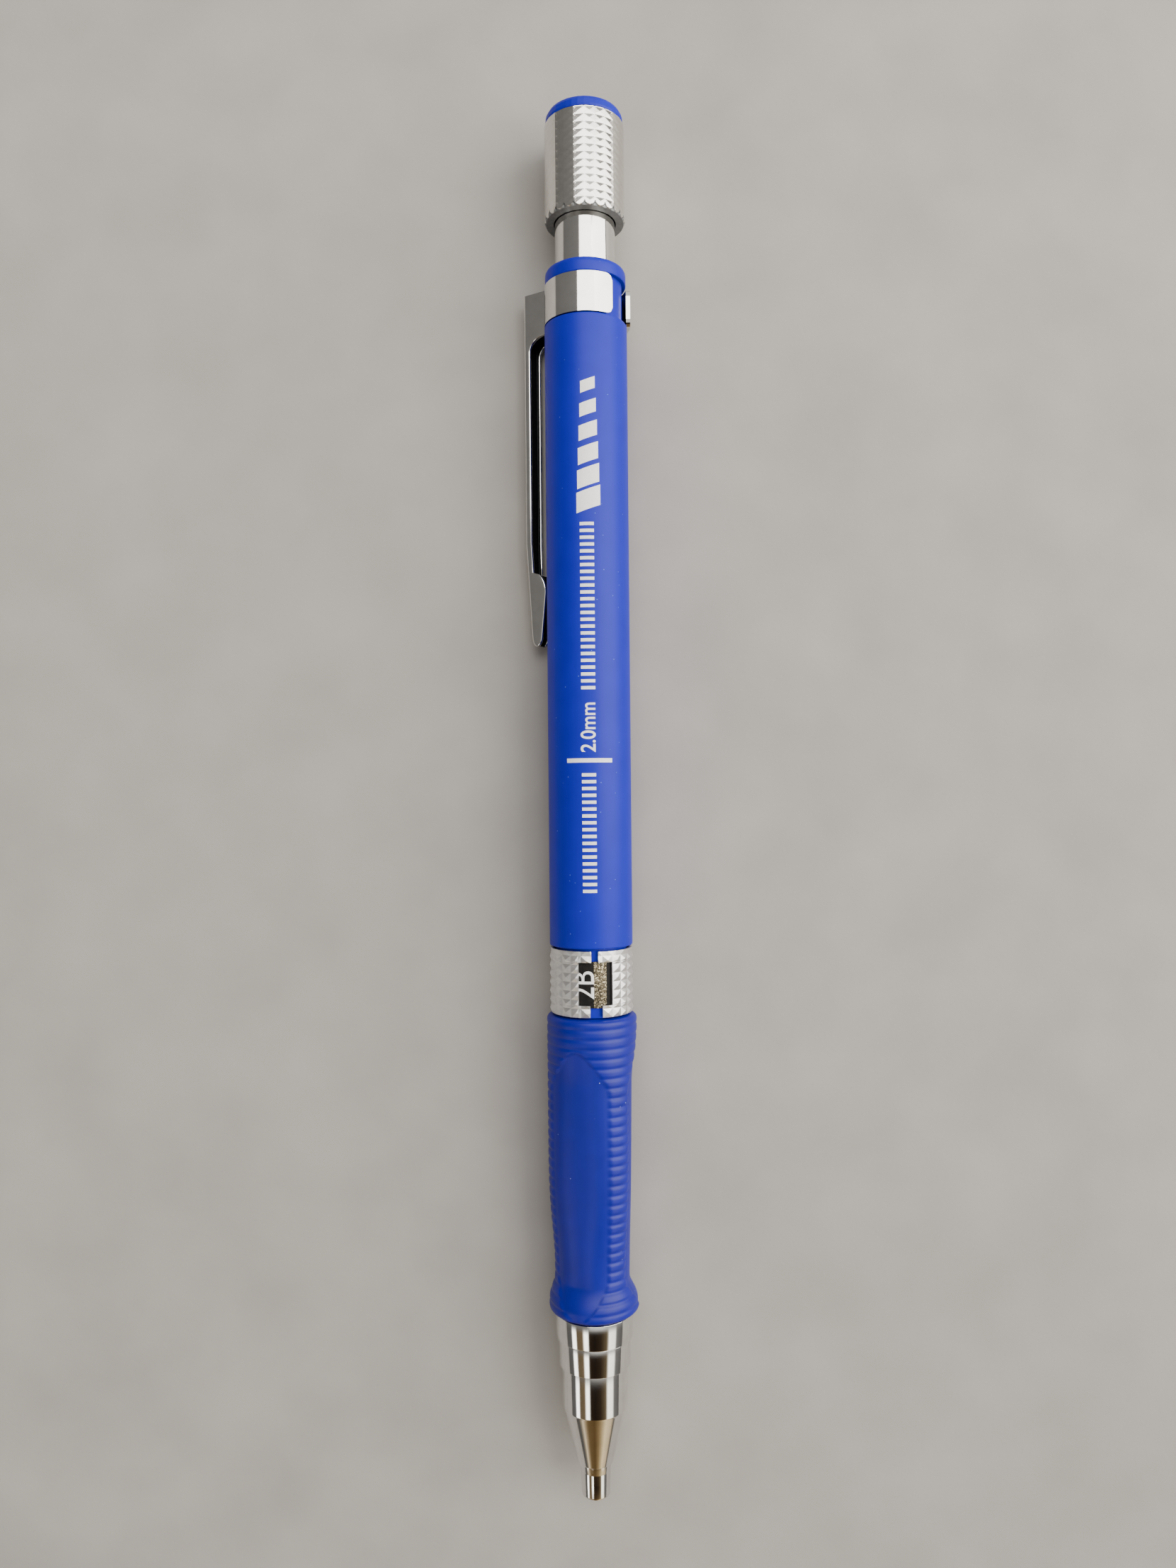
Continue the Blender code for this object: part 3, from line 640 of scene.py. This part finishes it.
# Moulded rubber: matt blue, a shade deeper than the barrel, with a powdery skin.
rubber, tree, shader, place = surface("moulded_rubber", 0.42, IOR=1.47, Specular_IOR_Level=0.4)
specks = add(tree, "ShaderNodeTexVoronoi", inputs={"Vector": place, "Scale": 1 / (1.6 * MM)})
chosen = add(
    tree, "ShaderNodeMath", {"operation": "LESS_THAN"},
    {0: specks.outputs["Distance"], 1: 0.03},
)
blue = add(
    tree, "ShaderNodeValToRGB", inputs={"Fac": grain(tree, place, 2 * MM, 4.0)},
    stops=[(0.3, linear("070d86")), (0.7, linear("090f90"))],
)
dusty = add(
    tree, "ShaderNodeMix", {"data_type": "RGBA"},
    {"Factor": chosen.outputs[0], 6: blue.outputs["Color"], 7: linear("a9bdf0")},
)
tree.links.new(dusty.outputs[2], shader.inputs["Base Color"])
roughen(tree, shader, grain(tree, place, 0.1 * MM), 0.006 * MM, 0.6)

GRIP_FRONT = 20.15 * MM
GRIP_BACK = 52.1 * MM
GRIP = 4.88 * MM
GRIP_BORE = 3.55 * MM
RIBS = 31
RIB_DEPTH = 0.13 * MM
PANEL_STEP = 0.14 * MM
WAIST_DEPTH = 0.62 * MM
WAIST_STATION = 24.8 * MM
RIM = 0.5 * MM
LOBE_FACING = math.radians(37)
GRIP_COLUMNS = 168

rib_pitch = (GRIP_BACK - GRIP_FRONT) / RIBS
stations = np.linspace(GRIP_FRONT, GRIP_BACK, RIBS * 9 + 1)[:, None]
angles = np.linspace(0, math.tau, GRIP_COLUMNS, endpoint=False)[None, :]
from_back, from_front = GRIP_BACK - stations, stations - GRIP_FRONT
# Three cosine lobes round the sleeve, over a waist near the front; both fade to round rims.
lobe_share = 0.5 + 0.5 * np.cos(3 * (angles - LOBE_FACING))
waist = WAIST_DEPTH * np.exp(-(((stations - WAIST_STATION) / (6 * MM)) ** 2))
lobe = GRIP - waist
hollow = 3.98 * MM + 0.42 * MM * np.clip((stations - 24 * MM) / (24 * MM), 0, 1)
fade = smoothstep((from_back - 1 * MM) / (6.5 * MM)) * smoothstep((from_front - 1 * MM) / (2.6 * MM))
radius = GRIP + (hollow + (lobe - hollow) * lobe_share - GRIP) * fade
# Ribs run right round near the ends. Between, an arch narrows them to the tops of the lobes.
arch = smoothstep((from_back - 2.4 * MM) / (5.5 * MM)) * smoothstep((from_front + 1 * MM) / (5.5 * MM))
ribbed = smoothstep((lobe_share + 0.14 - 0.94 * arch) / 0.1)
groove = (0.5 + 0.5 * np.cos(math.tau * from_front / rib_pitch)) ** 3
radius = radius - RIB_DEPTH * groove * ribbed * (0.6 + 0.4 * arch)
# The smooth panels lie a step below the ribs.
radius = radius - PANEL_STEP * (1 - ribbed)
# Both rims are rounded over half a millimetre, as a quarter ellipse.
rim = np.minimum(from_back, from_front) / (0.55 * MM)
radius = radius - RIM * (1 - np.sqrt(1 - (1 - np.clip(rim, 0, 1)) ** 2))
outer = around(radius, angles, stations)
inner = around(GRIP_BORE + 0 * radius, angles, stations)
points, faces = thick(outer, inner, np.ones((len(stations) - 1, GRIP_COLUMNS), bool))
piece("grip_sleeve", points, faces, rubber, "barrel_body", "grip_rubber", "grip", sharp=60)


# ---------------------------------------------------------------------------------------------
# The nose: turned brass, bright chromed, in three steps with a fine groove between them and a
# cone at the front. It screws on to the barrel and traps the grip.

# Bright chrome: mirror-like, with hair scratches along it from use.
chrome, tree, shader, place = surface("bright_chrome", 0.07, 1.0)
tint(tree, shader, grain(tree, place, 1.5 * MM), [(0.3, linear("dcdbd9")), (0.7, linear("e6e5e3"))])
hair = grain(tree, place, 0.09 * MM, 3.0, (1, 0.08, 1))
roughen(tree, shader, hair, 0.0012 * MM, 0.5)

outline = [
    (1.78, 3.65), (1.98, 3.65), (3.48, 9.6), (3.52, 9.72), (3.52, 14.12), (3.4, 14.14),
    (3.4, 14.24), (3.89, 14.3), (3.89, 17.12), (3.78, 17.14), (3.78, 17.24), (4.18, 17.3),
    (4.18, 19.9), (3.3, 19.9), (3.3, 14.5), (2.4, 14.5), (2.4, 9.4), (2.0, 9.4), (2.0, 6.6),
    (1.78, 6.6),
]
rounding = [0.03, 0.08, 0.05, 0.05, 0.02, 0.02, 0.02, 0.04, 0.02, 0.02, 0.02, 0.04, 0.05] + [0.03] * 7
points, faces = turned(np.array(outline) * MM, np.array(rounding) * MM)
piece("nose_chromed", points, faces, chrome, "barrel_body", "nose_chrome", "nose_cone")


# ---------------------------------------------------------------------------------------------
# The nozzle: a thin plated guide tube pressed into the nose, flared where it meets the cone. The
# lead runs through it, so it is as bright as the nose and has the same scratches.

outline = [
    (1.1, 0), (1.5, 0), (1.56, 0.15), (1.6, 1.6), (1.64, 2.7), (1.74, 3.6), (1.68, 3.6), (1.68, 6.3),
    (1.1, 6.3),
]
points, faces = turned(np.array(outline) * MM, 0.05 * MM, 96)
piece("nozzle_tube", points, faces, chrome, "barrel_body", "nose_chrome", "nozzle")


# ---------------------------------------------------------------------------------------------
# The push tube: drawn tube, bright plated, with the edges of its ends rounded off. It carries the
# button, and slides in the barrel.

outline = [(2.95, 113.2), (3.3, 113.2), (3.3, 145.5), (2.95, 145.5)]
points, faces = turned(np.array(outline) * MM, 0.08 * MM)
piece("push_tube_plated", points, faces, chrome, "push_rod", "tube_chrome", "push_tube")


# ---------------------------------------------------------------------------------------------
# The button's sleeve: nickel-plated and knurled in square pyramids. Its columns end in rounded
# tongues over a flat front face.

# Bright nickel: softer than chrome and a little warm, with a fine grain from tumbling.
nickel, tree, shader, place = surface("bright_nickel", 0.15, 1.0)
tint(tree, shader, grain(tree, place, 0.8 * MM), [(0.3, linear("d9d7d3")), (0.7, linear("e3e1dd"))])
roughen(tree, shader, grain(tree, place, 0.1 * MM), 0.004 * MM, 0.5)

# Front-face nickel: grey and matt, with painted shade. Its darker grey stands in for the shadowed floor
# that the front face reflects.
painted_shade_nickel, tree, shader, place = surface("nickel_painted_shade", 0.5, 0.9)
tint(tree, shader, grain(tree, place, 0.4 * MM), [(0.3, linear("7c7e80")), (0.7, linear("8a8c8d"))])
roughen(tree, shader, grain(tree, place, 0.08 * MM), 0.004 * MM, 0.5)


def face_centres(made):
    """The centres of a piece's faces, measured from the pencil's axis and its nozzle's end."""
    centre = np.zeros(len(made.data.polygons) * 3)
    made.data.polygons.foreach_get("center", centre)
    return centre.reshape(-1, 3) - (AXIS_X, TIP_Y, AXIS_Z)


KNOB = 4.42 * MM
KNOB_BORE = 3.4 * MM
KNOB_FRONT = 138.1 * MM
KNURL_FRONT = 138.2 * MM
KNOB_BACK = 148.7 * MM
KNURL_BACK = KNOB_BACK - 0.15 * MM
TONGUE = 0.45 * MM
KNOB_COLUMNS = 24
KNOB_ROWS = 13
KNOB_DEPTH = 0.05 * MM
TOOTH_BENDS = (0, 0.12, 0.25, 0.5, 0.75, 0.88)

angles = tooth_lines(0, math.tau, KNOB_COLUMNS, TOOTH_BENDS)[:-1]
knurled = tooth_lines(KNURL_FRONT, KNURL_BACK, KNOB_ROWS, TOOTH_BENDS)
turns = angles * KNOB_COLUMNS / math.tau
knurl_pitch = (KNURL_BACK - KNURL_FRONT) / KNOB_ROWS
# Each tooth is a pyramid: its height is the lesser of two tents, across the column and along it.
height = np.minimum(tooth(turns)[None, :], tooth((knurled - KNURL_FRONT) / knurl_pitch)[:, None])
face_rows = [KNOB_FRONT, KNOB_FRONT + 0.03 * MM]
stations = np.concatenate([face_rows, knurled, [KNOB_BACK - 0.06 * MM, KNOB_BACK]])
# Each column's top is a flat facet, so its radius grows as 1 over the cosine from its middle.
from_middle = np.abs(turns - np.floor(turns) - 0.5) * 2
half_column = math.pi / KNOB_COLUMNS
facet = KNOB * math.cos(half_column) / np.cos(from_middle * half_column)
shape = facet - KNOB_DEPTH * (1 - height)
# Two rows make the flat front face, and two more the rounded back rim.
flat_rows = np.repeat(np.array([[3.5], [4.22]]) * MM, len(angles), axis=1)
rim_rows = np.minimum(np.array([[4.36], [4.28]]) * MM, shape[-1:])
radius = np.concatenate([flat_rows, shape, rim_rows])
# Each column's front end is a rounded tongue: its edges start further back than its middle.
station = np.repeat(stations[:, None], len(angles), axis=1)
station[2] += TONGUE * from_middle**3
station[3] = np.maximum(station[3], station[2] + 0.03 * MM)
outer = around(radius, angles, station)
inner = around(KNOB_BORE + 0 * radius, angles, stations[:, None])
points, faces = thick(outer, inner, np.ones((len(stations) - 1, len(angles)), bool), radius)
sleeve = piece("button_sleeve", points, faces, nickel, "button", "knob_nickel", "knob_sleeve", sharp=3)
# The front face takes the darker nickel: painted shade.
sleeve.data.materials.append(painted_shade_nickel)
centre = face_centres(sleeve)
column = np.arctan2(centre[:, 0], centre[:, 2]) * KNOB_COLUMNS / math.tau
tongue = TONGUE * np.abs((column - np.floor(column) - 0.5) * 2) ** 3
in_front = centre[:, 1] < KNURL_FRONT + tongue - 0.01 * MM
sleeve.data.polygons.foreach_set("material_index", in_front.astype(np.int32))


# ---------------------------------------------------------------------------------------------
# The clip: one pressed and folded steel sheet, chromed. A split band springs round the barrel,
# and a channel-shaped arm beside it ends in two lobes that close on the barrel.

# Steel with painted shade: dark grey inside the channel. It stands in for the shade, and the dark
# barrel, that the chrome there reflects.
painted_shade_steel, tree, shader, place = surface("steel_painted_shade", 0.45, 0.9)
tint(tree, shader, grain(tree, place, 0.4 * MM), [(0.3, linear("232525")), (0.7, linear("2f3131"))])
roughen(tree, shader, grain(tree, place, 0.08 * MM), 0.004 * MM, 0.5)

SHEET = 0.4 * MM
BAND = 0.45 * MM
BAND_INSIDE = BODY - BAND
BAND_FRONT = 126.85 * MM
BAND_BACK = 131.1 * MM
CLIP_BACK = 7.4 * MM
CLIP_HALF = 1.22 * MM
# The pencil lies with its clip turned down until the corner of the arm's back meets the table.
CLIP_DROP = math.asin(AXIS_Z / math.hypot(CLIP_BACK, CLIP_HALF)) - math.atan2(CLIP_HALF, CLIP_BACK)
outward = np.array([-math.cos(CLIP_DROP), 0, -math.sin(CLIP_DROP)])
sideways = np.array([math.sin(CLIP_DROP), 0, -math.cos(CLIP_DROP)])
CLIP_BEND = 104.0 * MM
CLIP_END = 92.4 * MM
ROOT_TOP = 131.6 * MM
ROOT_EDGE = 4.62 * MM
LOBE_START = 100.6 * MM
LOBE_PEAK = 98.3 * MM
LOBE_EDGE = 4.84 * MM
WEB_START = 125.2 * MM
FLANGE = 0.82 * MM
# From its bend on, the arm leans in and narrows, and its very tip is rounded off.
LEAN_IN = 0.52 * MM
NARROWING = 0.4 * MM
TIP_LENGTH = 1.0 * MM
TIP_ROUND = 0.5 * MM
TIP_EDGE = 5.62 * MM
# Rows this near to an edge count as on it.
NEARLY = 0.01 * MM


def clip_points(out, side, station):
    """Points in the clip's own frame: out from the axis to the arm, and sideways across it."""
    out, side, station = np.broadcast_arrays(out, side, station)
    point = out[..., None] * outward + side[..., None] * sideways
    return point + np.stack([np.full_like(out, AXIS_X), TIP_Y + station, np.full_like(out, AXIS_Z)], -1)


lobe_rows = LOBE_START - (LOBE_START - LOBE_PEAK) * np.linspace(0, 1, 9)
web_rows = WEB_START + (BAND_FRONT - WEB_START) * np.sin(np.linspace(0, math.pi / 2, 9))
tip_rows = CLIP_END + TIP_LENGTH * np.linspace(0, 1, 8) ** 1.6
rows = np.concatenate([
    tip_rows, np.linspace(93.8, 98.0, 5) * MM, lobe_rows, [102 * MM, CLIP_BEND],
    np.linspace(108, 124, 5) * MM, web_rows, np.linspace(127.4, 130.6, 5) * MM,
    [BAND_BACK, ROOT_TOP - 0.1 * MM, ROOT_TOP],
])
rows = np.unique(np.round(rows, 8))
lean = np.clip((CLIP_BEND - rows) / (CLIP_BEND - CLIP_END), 0, 1)
tip_share = np.clip((rows - CLIP_END) / TIP_LENGTH, 0, 1)
tip_round = TIP_ROUND * (1 - np.sqrt(1 - (1 - tip_share) ** 2))
back = CLIP_BACK - LEAN_IN * lean - tip_round
half = CLIP_HALF - NARROWING * lean
# The side walls' inner edge: a straight flange, a lobe that swells as a quarter ellipse and tapers
# to the tip, and a web that runs in to the band as another quarter ellipse.
edge = CLIP_BACK - LEAN_IN * lean - FLANGE
swell = np.clip((LOBE_START - rows) / (LOBE_START - LOBE_PEAK), 0, 1)
lobe_edge = edge - (edge - LOBE_EDGE) * np.sqrt(1 - (1 - swell) ** 2)
to_tip = np.clip((LOBE_PEAK - rows) / (LOBE_PEAK - CLIP_END), 0, 1)
taper = LOBE_EDGE + (TIP_EDGE - LOBE_EDGE) * to_tip + tip_round
edge = np.where(rows < LOBE_PEAK, taper, np.where(rows < LOBE_START, lobe_edge, edge))
band_edge = math.sqrt(BODY**2 - CLIP_HALF**2)
web = np.clip((rows - WEB_START) / (BAND_FRONT - WEB_START), 0, 1)
web_edge = band_edge + (edge - band_edge) * np.sqrt(1 - web**2)
edge = np.where(rows > WEB_START, web_edge, edge)
edge = np.where(rows > BAND_BACK + NEARLY, ROOT_EDGE, edge)

BEND = 0.34 * MM
INNER_BEND = 0.08 * MM
ROLL = 0.19 * MM
SHORT_WALL = 0.25 * MM
# Columns up a side wall: the first six cross its rounded free edge, the rest share what is left.
near = np.array([0, 0.01, 0.04, 0.08, 0.13, 0.19, 0.19, 0.19, 0.19]) * MM
far = np.array([0, 0, 0, 0, 0, 0, 0.25, 0.5, 0.75])
turn_share = np.linspace(0, 1, 6)
flat_share = np.linspace(0, 1, 5)[1:-1]


def channel(inner_edge, reach, breadth, bend, roll):
    """One row's open section from edge to edge: a wall, a quadratic bend of size bend, the flat
    back, and the same again. roll draws a wall's free edge in as a quarter circle, times roll,
    which shrinks with a short wall. Returns out and sideways for each column."""
    inner_edge, reach, breadth, roll = (v[:, None] for v in (inner_edge, reach, breadth, roll))
    start = np.maximum(reach - bend, inner_edge)
    fit = np.clip((start - inner_edge) / SHORT_WALL, 0.001, 1)
    up = near * fit + (start - inner_edge - near[-1] * fit) * far
    drawn_in = 1 - np.sqrt(1 - (1 - np.clip(up / (ROLL * fit), 0, 1)) ** 2)
    wall_side = breadth - roll * ROLL * fit * drawn_in
    up_out = inner_edge + up
    t = turn_share
    bend_out = (1 - t) ** 2 * start + 2 * t * (1 - t) * reach + t**2 * reach
    bend_side = (1 - t) ** 2 * breadth + 2 * t * (1 - t) * breadth + t**2 * (breadth - bend)
    across = (breadth - bend) * (1 - 2 * flat_share)
    out = np.concatenate([up_out, bend_out, reach + 0 * across, bend_out[:, ::-1], up_out[:, ::-1]], 1)
    side = np.concatenate([
        -wall_side, -bend_side, -across, bend_side[:, ::-1], wall_side[:, ::-1],
    ], 1)
    return out, side


# The rolled edges fade out where the arm runs in to the band.
free = np.clip((BAND_FRONT - rows) / (0.6 * MM), 0, 1)
out, side = channel(edge, back, half, BEND, free)
inner_wall = np.where(
    (rows > BAND_FRONT - NEARLY) & (rows < BAND_BACK + NEARLY),
    math.sqrt(BAND_INSIDE**2 - (CLIP_HALF - SHEET) ** 2), edge,
)
out_in, side_in = channel(inner_wall, back - SHEET, half - SHEET, INNER_BEND, -free)

# The band's arcs start from the channel's walls. Their two free ends nearly meet opposite it.
ARC = 56
SPRUNG = 0.38 * MM
corner = math.asin(CLIP_HALF / BODY)
corner_in = math.asin((CLIP_HALF - SHEET) / BAND_INSIDE)
first_end, last_end = math.radians(-161), math.radians(151)


def arc(radius, start, end, proud=0.0):
    """An arc in the clip's frame, whose last half springs out by proud."""
    share = np.linspace(0, 1, ARC)
    reach = radius + proud * smoothstep((share - 0.5) / 0.5)
    angle = start + (end - start) * share
    return reach * np.cos(angle), reach * np.sin(angle)


def joined(section, before, after):
    """Adds the band's arcs, the same for every row, before and after each row's channel."""
    same = [np.repeat(values[None, :], len(rows), 0) for values in (before, after)]
    return np.concatenate([same[0], section, same[1]], axis=1)


first, last = arc(BODY, first_end, -corner), arc(BODY, corner, last_end, SPRUNG)
first_in = arc(BAND_INSIDE, first_end, -corner_in)
last_in = arc(BAND_INSIDE, corner_in, last_end, SPRUNG)
trim = slice(0, ARC - 1)
trim_last = slice(1, ARC)
outer_out = joined(out, first[0][trim], last[0][trim_last])
outer_side = joined(side, first[1][trim], last[1][trim_last])
inner_out = joined(out_in, first_in[0][trim], last_in[0][trim_last])
inner_side = joined(side_in, first_in[1][trim], last_in[1][trim_last])
# The band's two free ends have rounded corners: their rows draw in towards the band's middle.
station = np.repeat(rows[:, None], outer_out.shape[1], 1)
middle = (BAND_FRONT + BAND_BACK) / 2
half_band = (BAND_BACK - BAND_FRONT) / 2
END_ROUND = 0.7 * MM
column_width = BODY * math.radians(120) / ARC
columns = np.arange(outer_out.shape[1])
from_end = np.minimum(columns, columns[-1] - columns) * column_width
shrink = np.sqrt(1 - np.clip(1 - from_end / END_ROUND, 0, 1) ** 2)
room = half_band - END_ROUND * (1 - shrink)
in_band = (rows >= BAND_FRONT - NEARLY) & (rows <= BAND_BACK + NEARLY)
drawn = middle + (station - middle) * (room / half_band)[None, :]
station = np.where(in_band[:, None], drawn, station)
outer = clip_points(outer_out, outer_side, station)
inner = clip_points(inner_out, inner_side, station)
keep = np.zeros((len(rows) - 1, outer.shape[1]), bool)
arm_columns = slice(ARC - 1, ARC - 1 + out.shape[1] - 1)
keep[:, arm_columns] = True
band_rows = in_band[:-1] & in_band[1:]
keep[np.ix_(band_rows, np.arange(outer.shape[1] - 1))] = True
points, faces = thick(outer, inner, keep)
clip = piece(
    "clip_folded", points, faces, chrome, None, "clip_chrome", "clip_band", "clip_arm", sharp=50
)
clip.data.materials.append(painted_shade_steel)
# The faces with painted shade are inside the channel: between its walls, under its back and short of
# the band.
centre = face_centres(clip)
reach, breadth = centre @ outward, np.abs(centre @ sideways)
inside = breadth < np.interp(centre[:, 1], rows, half) - 0.96 * SHEET
inside &= reach < np.interp(centre[:, 1], rows, back) - 0.96 * SHEET
inside &= (centre[:, 1] < BAND_FRONT - 0.1 * MM) & (reach > 0)
clip.data.polygons.foreach_set("material_index", inside.astype(np.int32))
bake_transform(clip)


# ---------------------------------------------------------------------------------------------
# The return spring: hard-drawn wire, coiled round the chuck's stem between the thrust sleeve and the
# connector. Its end coils lie closed. In the pencil it shortens as the button goes in, but here it is
# built at one length.

# Spring steel: drawn wire, blued a little by its heat treatment, with fine lines on it.
steel, tree, shader, place = surface("spring_steel", 0.28, 1.0)
tint(tree, shader, grain(tree, place, 0.5 * MM), [(0.3, linear("9b9da1")), (0.7, linear("b0b2b5"))])
roughen(tree, shader, grain(tree, place, 0.05 * MM, 2.0, (1, 0.1, 1)), 0.003 * MM, 0.5)

WIRE = 0.2 * MM
COIL = 2.12 * MM
COIL_FRONT, COIL_BACK = 22.2 * MM, 32.1 * MM
COILS = 9
COIL_STEPS = 36
WIRE_SIDES = 12
CLOSED_PITCH = 2.02 * WIRE
OPEN_PITCH = 1.32 * MM

# The wire's centre goes round the axis, and its pitch grows softly from the closed end coils.
turns = np.linspace(0, COILS, COILS * COIL_STEPS + 1)
closed = smoothstep((turns - 0.6) / 0.8) * smoothstep((COILS - 0.6 - turns) / 0.8)
advance = np.cumsum(CLOSED_PITCH + (OPEN_PITCH - CLOSED_PITCH) * closed)
advance = (advance - advance[0]) / (advance[-1] - advance[0])
reach = COIL_BACK - COIL_FRONT - 2 * WIRE
round_wire = np.linspace(0, math.tau, WIRE_SIDES, endpoint=False)
points = around(
    COIL + WIRE * np.cos(round_wire), (math.tau * turns)[:, None],
    (COIL_FRONT + WIRE + reach * advance)[:, None] + WIRE * np.sin(round_wire),
)
start = np.arange(len(turns) - 1)[:, None] * WIRE_SIDES
end = start + WIRE_SIDES
here = np.arange(WIRE_SIDES)
after = (here + 1) % WIRE_SIDES
sides = np.stack([start + here, start + after, end + after, end + here], axis=-1)
last = (len(turns) - 1) * WIRE_SIDES
caps = [list(range(WIRE_SIDES))[::-1], list(range(last, last + WIRE_SIDES))]
faces = sides.reshape(-1, 4).tolist() + caps
spring = piece("spring_coiled", points, faces, steel, "barrel_body", "spring_steel", "chuck_spring")
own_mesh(spring)


# ---------------------------------------------------------------------------------------------
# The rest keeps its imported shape: the button's blue core and its blade, and the works in the
# barrel. They are turned, moulded, extruded or drawn, and each gets the finish of its own material.

# Turned brass: yellow, with lathe rings a twentieth of a millimetre apart.
brass, tree, shader, place = surface("turned_brass", 0.26, 1.0)
tint(tree, shader, grain(tree, place, 0.6 * MM), [(0.3, linear("b8934a")), (0.7, linear("cba65c"))])
roughen(tree, shader, grain(tree, place, 0.05 * MM, 2.0, (0.1, 1, 0.1)), 0.004 * MM, 0.5)

# Acetal: moulded, waxy white, with a soft shine.
acetal, tree, shader, place = surface("acetal", 0.38, IOR=1.48)
tint(tree, shader, grain(tree, place, 1 * MM), [(0.3, linear("dfddd6")), (0.7, linear("e9e7e1"))])
roughen(tree, shader, grain(tree, place, 0.12 * MM), 0.004 * MM, 0.5)

# Polypropylene: milky extruded tube, with faint lines along it.
milky, tree, shader, place = surface("extruded_polypropylene", 0.36, IOR=1.49)
tint(tree, shader, grain(tree, place, 1.2 * MM), [(0.3, linear("d6d8da")), (0.7, linear("e4e5e6"))])
roughen(tree, shader, grain(tree, place, 0.15 * MM, 2.0, (1, 0.05, 1)), 0.005 * MM, 0.5)

# Graphite: dark grey with a metallic sheen, drawn through a die.
graphite, tree, shader, place = surface("graphite_lead", 0.42, 0.35)
tint(tree, shader, grain(tree, place, 0.3 * MM), [(0.3, linear("2f3033")), (0.7, linear("414246"))])
roughen(tree, shader, grain(tree, place, 0.06 * MM, 2.0, (1, 0.1, 1)), 0.004 * MM, 0.6)

# Black rubber: the small bush behind the nozzle, matt and powdery.
bush, tree, shader, place = surface("black_rubber", 0.75, IOR=1.52)
tint(tree, shader, grain(tree, place, 0.4 * MM), [(0.3, linear("141414")), (0.7, linear("202020"))])
roughen(tree, shader, grain(tree, place, 0.08 * MM), 0.006 * MM, 0.6)

works = {
    "sharpener_insert": satin_abs, "sharpener_blade": steel, "chuck": brass, "chuck_jaw_0": brass,
    "chuck_jaw_1": brass, "chuck_jaw_2": brass, "chuck_ring": brass, "thrust_sleeve": acetal,
    "connector": acetal, "lead_tube": milky, "lead": graphite, "lead_retainer": bush,
}
for name, finish in works.items():
    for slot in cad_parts[name].material_slots:
        slot.material = finish
